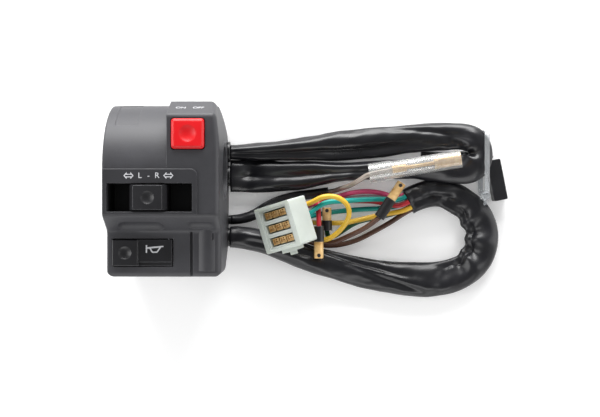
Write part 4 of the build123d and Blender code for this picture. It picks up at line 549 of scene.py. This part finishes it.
# Clear vinyl: glossy and slightly wavy, so what is inside shows bent.
dress("clear_vinyl", surface("clear_vinyl", ("f0f0ee", "fafaf8"), rough=(0.05, 0.14), grain=2.0, relief=0.06,
                             clear=0.87))

# The nine-way plug: a moulded block of white nylon with three rows of sockets. A folded brass terminal is
# pushed into each from behind, and its two rolled edges and its tongue grip the mating blade.
PLUG_BACK = (51.8, -20.8, -5.6)
# The plug lies turned on the floor and tilted up on its lower edge, in degrees.
PLUG_TURN = 17.0
PLUG_TILT = 33.0
TERMINAL_PITCH = (3.7, 5.6)
ROLL_DEPTH = 7.7
ROLL_LENGTH = 6.4
ROLL_RADIUS = 0.52
ROLL_OFFSET = (0.6, 0.38)
TONGUE_SIZE = (2.3, 0.7, 6.2)
TONGUE_OFFSET = -0.6
# White nylon lets a little light in, and has a faint green cast. Its rounded edges carry a painted highlight.
dress("white_nylon", surface("white_nylon", ("b2b9b3", "c2c8c2"), rough=(0.3, 0.42), grain=0.667, relief=0.03,
                             edge=0.3, edge_highlight_colour="cfd8d1", soft=0.2))
turn = math.radians(PLUG_TURN)
tilt = math.radians(PLUG_TILT)
across = Vector((math.cos(turn) * math.cos(tilt), math.sin(turn) * math.cos(tilt), math.sin(tilt)))
upward = Vector((-math.sin(turn), math.cos(turn), 0.0))
plug_frame = Matrix((across, upward, across.cross(upward))).transposed().to_4x4()
plug_frame.translation = Vector(PLUG_BACK) * MM
mesh = bmesh.new()
for column in (-1, 0, 1):
    for row in (-1, 0, 1):
        middle = Vector((column * TERMINAL_PITCH[0], row * TERMINAL_PITCH[1], ROLL_DEPTH))
        for sign in (-1, 1):
            roll = bmesh.ops.create_cone(mesh, cap_ends=True, segments=20, radius1=ROLL_RADIUS,
                                         radius2=ROLL_RADIUS, depth=ROLL_LENGTH)
            offset = Vector((sign * ROLL_OFFSET[0], ROLL_OFFSET[1], 0.0))
            bmesh.ops.translate(mesh, verts=roll["verts"], vec=middle + offset)
        tongue = bmesh.ops.create_cube(mesh, size=1.0, matrix=Matrix.Diagonal(TONGUE_SIZE + (1.0,)))
        bmesh.ops.translate(mesh, verts=tongue["verts"], vec=middle + Vector((0.0, TONGUE_OFFSET, 0.0)))
bmesh.ops.scale(mesh, verts=mesh.verts, vec=(MM, MM, MM))
data = bpy.data.meshes.new("terminal_rolls")
mesh.to_mesh(data)
mesh.free()
data.transform(plug_frame)
piece("terminal_rolls", data, "brass_contacts", "housing")

# The bullets: turned brass pins, crimped on wires, with their wire ends in black sleeves. Each has a hole
# near its tip; the shade in it is painted as a thin dark disc that lies on the upper side.
BULLET_RADIUS = 2.0
HOLE_RADIUS = 0.8
HOLE_SHADE_THICKNESS = 0.4
HOLE_LIFT = 0.03
HOLE_FROM_TIP = 1.3
# Each bullet's tip, and the way from there to its wire.
BULLETS = [((98.3, -4.0, -8.6), (-4.6, -7.0, 0.0)), ((62.6, -36.4, -8.7), (0.0, 1.0, 0.0)),
           ((66.2, -14.6, -13.4), (0.0, -1.0, 0.0))]
for number, (tip, toward) in enumerate(BULLETS):
    raised = Vector((0, 0, BULLET_RADIUS + HOLE_LIFT - HOLE_SHADE_THICKNESS / 2))
    centre = Vector(tip) + Vector(toward).normalized() * HOLE_FROM_TIP + raised
    mesh = bmesh.new()
    bmesh.ops.create_cone(mesh, cap_ends=True, segments=24, radius1=HOLE_RADIUS, radius2=HOLE_RADIUS,
                          depth=HOLE_SHADE_THICKNESS)
    bmesh.ops.translate(mesh, verts=mesh.verts, vec=centre)
    bmesh.ops.scale(mesh, verts=mesh.verts, vec=(MM, MM, MM))
    data = bpy.data.meshes.new(f"hole_shade_disc_{number + 1}")
    mesh.to_mesh(data)
    mesh.free()
    # The disc is painted shade, in the dull dark plastic.
    piece(f"hole_shade_disc_{number + 1}", data, "inner_plastic", "housing")

# The wires: stranded copper in soft PVC of one colour each. Most run from the looped sleeve's mouth to the
# plug, the red and green ones end in a bullet, the upper brown one starts at a bullet, and the yellow loop
# joins two ways of the plug.
PVC_COLOURS = {
    "yellow": ("c99c22", "dcb43a"),
    "magenta": ("b8325f", "d8567f"),
    "white": ("bcbdc0", "d0d0d2"),
    "teal": ("058279", "10a69d"),
    "brown": ("40271c", "553626"),
    "red": ("a01822", "b82834"),
    "green": ("0c3520", "134a2a"),
}
WIRE_DIAMETER = 2.2
LEAD_WIRE_DIAMETER = 2.4
# Soft PVC is smooth and even, with a broad shine.
for colour, tones in PVC_COLOURS.items():
    material = surface(colour + "_pvc", tones, rough=(0.28, 0.38), grain=0.714, relief=0.03)
    dress(colour + "_insulation", material)
# Clear PVC over copper: the dull strands show through a glossy skin.
dress("clear_insulation", surface("copper_in_clear", ("6c6158", "a0948a"), rough=(0.2, 0.34), grain=0.588,
                                  relief=0.1, metal=0.3, coat=0.6))


def wire(node, slot, route, diameter=WIRE_DIAMETER):
    """A single wire that stands for a CAD node, as a round curve from the first point of its route."""
    length = followed(spline(node + "_line", route))[1]
    made = piece(node + "_visual", spline(node, route, diameter / 2), slot, "housing")
    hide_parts(node)


wire("magenta_wire", "magenta_insulation", [
    (100.19, -8.93, -16), (96.68, -10.79, -16), (90, -7.8, -16.6), (80, -7.3, -17.2), (70, -10, -16.8),
    (61.5, -12.9, -14.8), (52.52, -14.72, -9.4), (50.18, -15.44, -5.63),
])
wire("white_wire", "white_insulation", [
    (100.68, -9.86, -18.55), (97.18, -11.72, -18.55), (90, -9.9, -19.4), (80, -9.9, -19.7),
    (67, -12.4, -19.4), (58, -14.2, -17), (49.55, -15.63, -11.41), (47.21, -16.35, -7.64),
])
wire("upper_teal_wire", "teal_insulation", [
    (100.68, -9.86, -13.45), (97.18, -11.72, -13.45), (90, -10.8, -14), (81, -11.2, -13.8),
    (73, -11.8, -10.6), (66, -12, -8.6), (60.4, -15.4, -7.8), (57.12, -19.17, -7.38),
    (54.78, -19.89, -3.61),
])
wire("lower_teal_wire", "teal_insulation", [
    (101.87, -12.11, -19.6), (98.37, -13.97, -19.6), (90, -15, -19.5), (80, -15.4, -19.4),
    (68, -16.6, -18.4), (60, -18, -15.5), (54.16, -20.08, -9.4), (51.82, -20.8, -5.63),
])
wire("yellow_wire", "yellow_insulation", [
    (103.06, -14.36, -13.45), (99.56, -16.22, -13.45), (90, -17.6, -14), (82, -19.6, -14.2),
    (74, -21.4, -15.6), (66, -21.4, -17.7), (58, -21.2, -16.6), (51.19, -20.98, -11.41),
    (48.85, -21.7, -7.64),
])
wire("lower_brown_wire", "brown_insulation", [
    (103.56, -15.3, -16), (100.05, -17.15, -16), (95, -20.8, -17.8), (87, -25.4, -19.4), (78, -30, -19.7),
    (67, -32, -19.8), (58, -29.6, -17.2), (52.83, -26.34, -11.41), (50.49, -27.06, -7.64),
])
wire("upper_brown_wire", "brown_insulation", [
    (88.6, -18.9, -8.6), (84.2, -22.8, -10.6), (76, -27, -14.6), (67, -31, -17), (61, -27.6, -16.2),
    (58.02, -24.75, -12.99), (53.45, -26.15, -5.63),
])
wire("red_wire", "red_insulation", [
    (101.87, -12.11, -12.4), (98.37, -13.97, -12.4), (93.5, -13.4, -14.8), (87, -11.7, -16.9),
    (80, -11.7, -16.6), (73, -11.4, -14.4), (65.8, -9.6, -12.8), (62.2, -12.6, -11.8), (62.6, -18.2, -8.9),
    (62.6, -22.6, -8.7),
])
wire("green_wire", "green_insulation", [
    (103.06, -14.36, -18.55), (99.56, -16.22, -18.55), (90, -18.8, -18.2), (80, -20.6, -19.2),
    (74, -24.4, -19.3), (69.6, -27.4, -18.6), (66.4, -27.8, -17.2), (66.2, -24.6, -13.4),
])
wire("yellow_loop_wire", "yellow_insulation", [
    (53.15, -14.53, -3.61), (55.73, -13.74, -7.76), (59.6, -12.4, -6.9), (64.6, -9.6, -5.8),
    (71, -10, -5.6), (75.6, -14, -6.4), (75.6, -19.6, -8.6), (71.8, -24.8, -11.4), (66.6, -28.8, -12.6),
    (62, -28.2, -12.9), (58.6, -27.2, -10.4), (58.76, -24.52, -7.38), (56.42, -25.24, -3.61),
])

# The clear wire goes from the end of the thin lead into the clear insulator. The small plug's lead is a vinyl
# one that comes out from under the folded sleeve.
wire("clear_wire", "clear_insulation", [
    (67.03, -7.6, -18.7), (69.6, -7.27, -18.7), (72.4, -6.2, -15.2), (76, -5.2, -12), (80.5, -2.6, -8.8),
    (84.2, 0, -7.2), (94.04, 1.58, -6.36),
])
wire("small_connector_lead", "sleeve_vinyl", [
    (108, 9.2, -19.6), (115, 8.9, -19.4), (122, 9.1, -19.2), (129, 9.4, -18.9), (135, 9.2, -18.6),
    (139.3, 7, -18.25),
], LEAD_WIRE_DIAMETER)

# The floor: a pale paper sheet under the cluster, a little below its back so that the two never share a
# plane. It glows faintly, as paper that is lit from below does.
FLOOR_HALF_WIDTH = 3.0
FLOOR_Z = -0.0212
FLOOR_GLOW = 0.14
WHITE = (1.0, 1.0, 1.0, 1.0)
floor_mesh = bmesh.new()
bmesh.ops.create_grid(floor_mesh, x_segments=1, y_segments=1, size=FLOOR_HALF_WIDTH)
bmesh.ops.translate(floor_mesh, verts=floor_mesh.verts, vec=(0.0, 0.0, FLOOR_Z))
floor_data = bpy.data.meshes.new("floor")
floor_mesh.to_mesh(floor_data)
floor_mesh.free()
floor = bpy.data.objects.new("floor", floor_data)
bpy.context.collection.objects.link(floor)
# Matt paper: drifts of tone a third of a metre wide, and hardly any relief.
paper = surface("pale_floor", ("f6f6f6", "fafafa"), rough=(0.8, 0.9), grain=25.0, relief=0.01, clouds=333.0)
for node in paper.node_tree.nodes:
    if node.type == "BSDF_PRINCIPLED":
        node.inputs["Emission Color"].default_value = WHITE
        node.inputs["Emission Strength"].default_value = FLOOR_GLOW
floor_data.materials.append(paper)

# The studio: a surround that is bright near the horizon and dim overhead, and four soft rectangular lamps.
# The strongest stands on the red button's side, as the photograph's highlights show.
SKY_STRENGTH = 0.95
SKY_TONES = [(0.0, 1.0), (0.35, 0.8), (0.8, 0.32), (1.0, 0.28)]
# Each lamp's place and aim in metres, its width and height in metres, and its power in watts.
LAMPS = {
    "far_light": ((0.02, 0.95, 0.30), (0.0, 0.01, 0.0), (1.0, 0.6), 22.0),
    "left_light": ((-0.80, 0.0, 0.40), (0.0, 0.0, 0.0), (0.5, 0.9), 5.0),
    "right_light": ((0.95, 0.0, 0.42), (0.08, 0.0, 0.0), (0.5, 0.9), 2.5),
    "low_light": ((0.05, -0.85, 0.45), (0.05, 0.0, 0.0), (1.0, 0.4), 3.0),
}
world = bpy.data.worlds.new("surround")
bpy.context.scene.world = world
world.use_nodes = True
sky = world.node_tree
direction = add(sky, "ShaderNodeTexCoord").outputs["Generated"]
height = add(sky, "ShaderNodeSeparateXYZ", {"Vector": direction}).outputs["Z"]
tones = add(sky, "ShaderNodeValToRGB", {"Fac": height})
stops = tones.color_ramp.elements
while len(stops) < len(SKY_TONES):
    stops.new(0.5)
for stop, (place, tone) in zip(stops, SKY_TONES):
    stop.position = place
    stop.color = (tone, tone, tone, 1.0)
sky.links.new(tones.outputs["Color"], sky.nodes["Background"].inputs["Color"])
sky.nodes["Background"].inputs["Strength"].default_value = SKY_STRENGTH
for name, (place, aim, size, power) in LAMPS.items():
    lamp_data = bpy.data.lights.new(name, "AREA")
    lamp_data.shape = "RECTANGLE"
    lamp_data.size = size[0]
    lamp_data.size_y = size[1]
    lamp_data.energy = power
    lamp = bpy.data.objects.new(name, lamp_data)
    lamp.location = place
    lamp.rotation_euler = (Vector(aim) - Vector(place)).to_track_quat("-Z", "Y").to_euler()
    bpy.context.collection.objects.link(lamp)
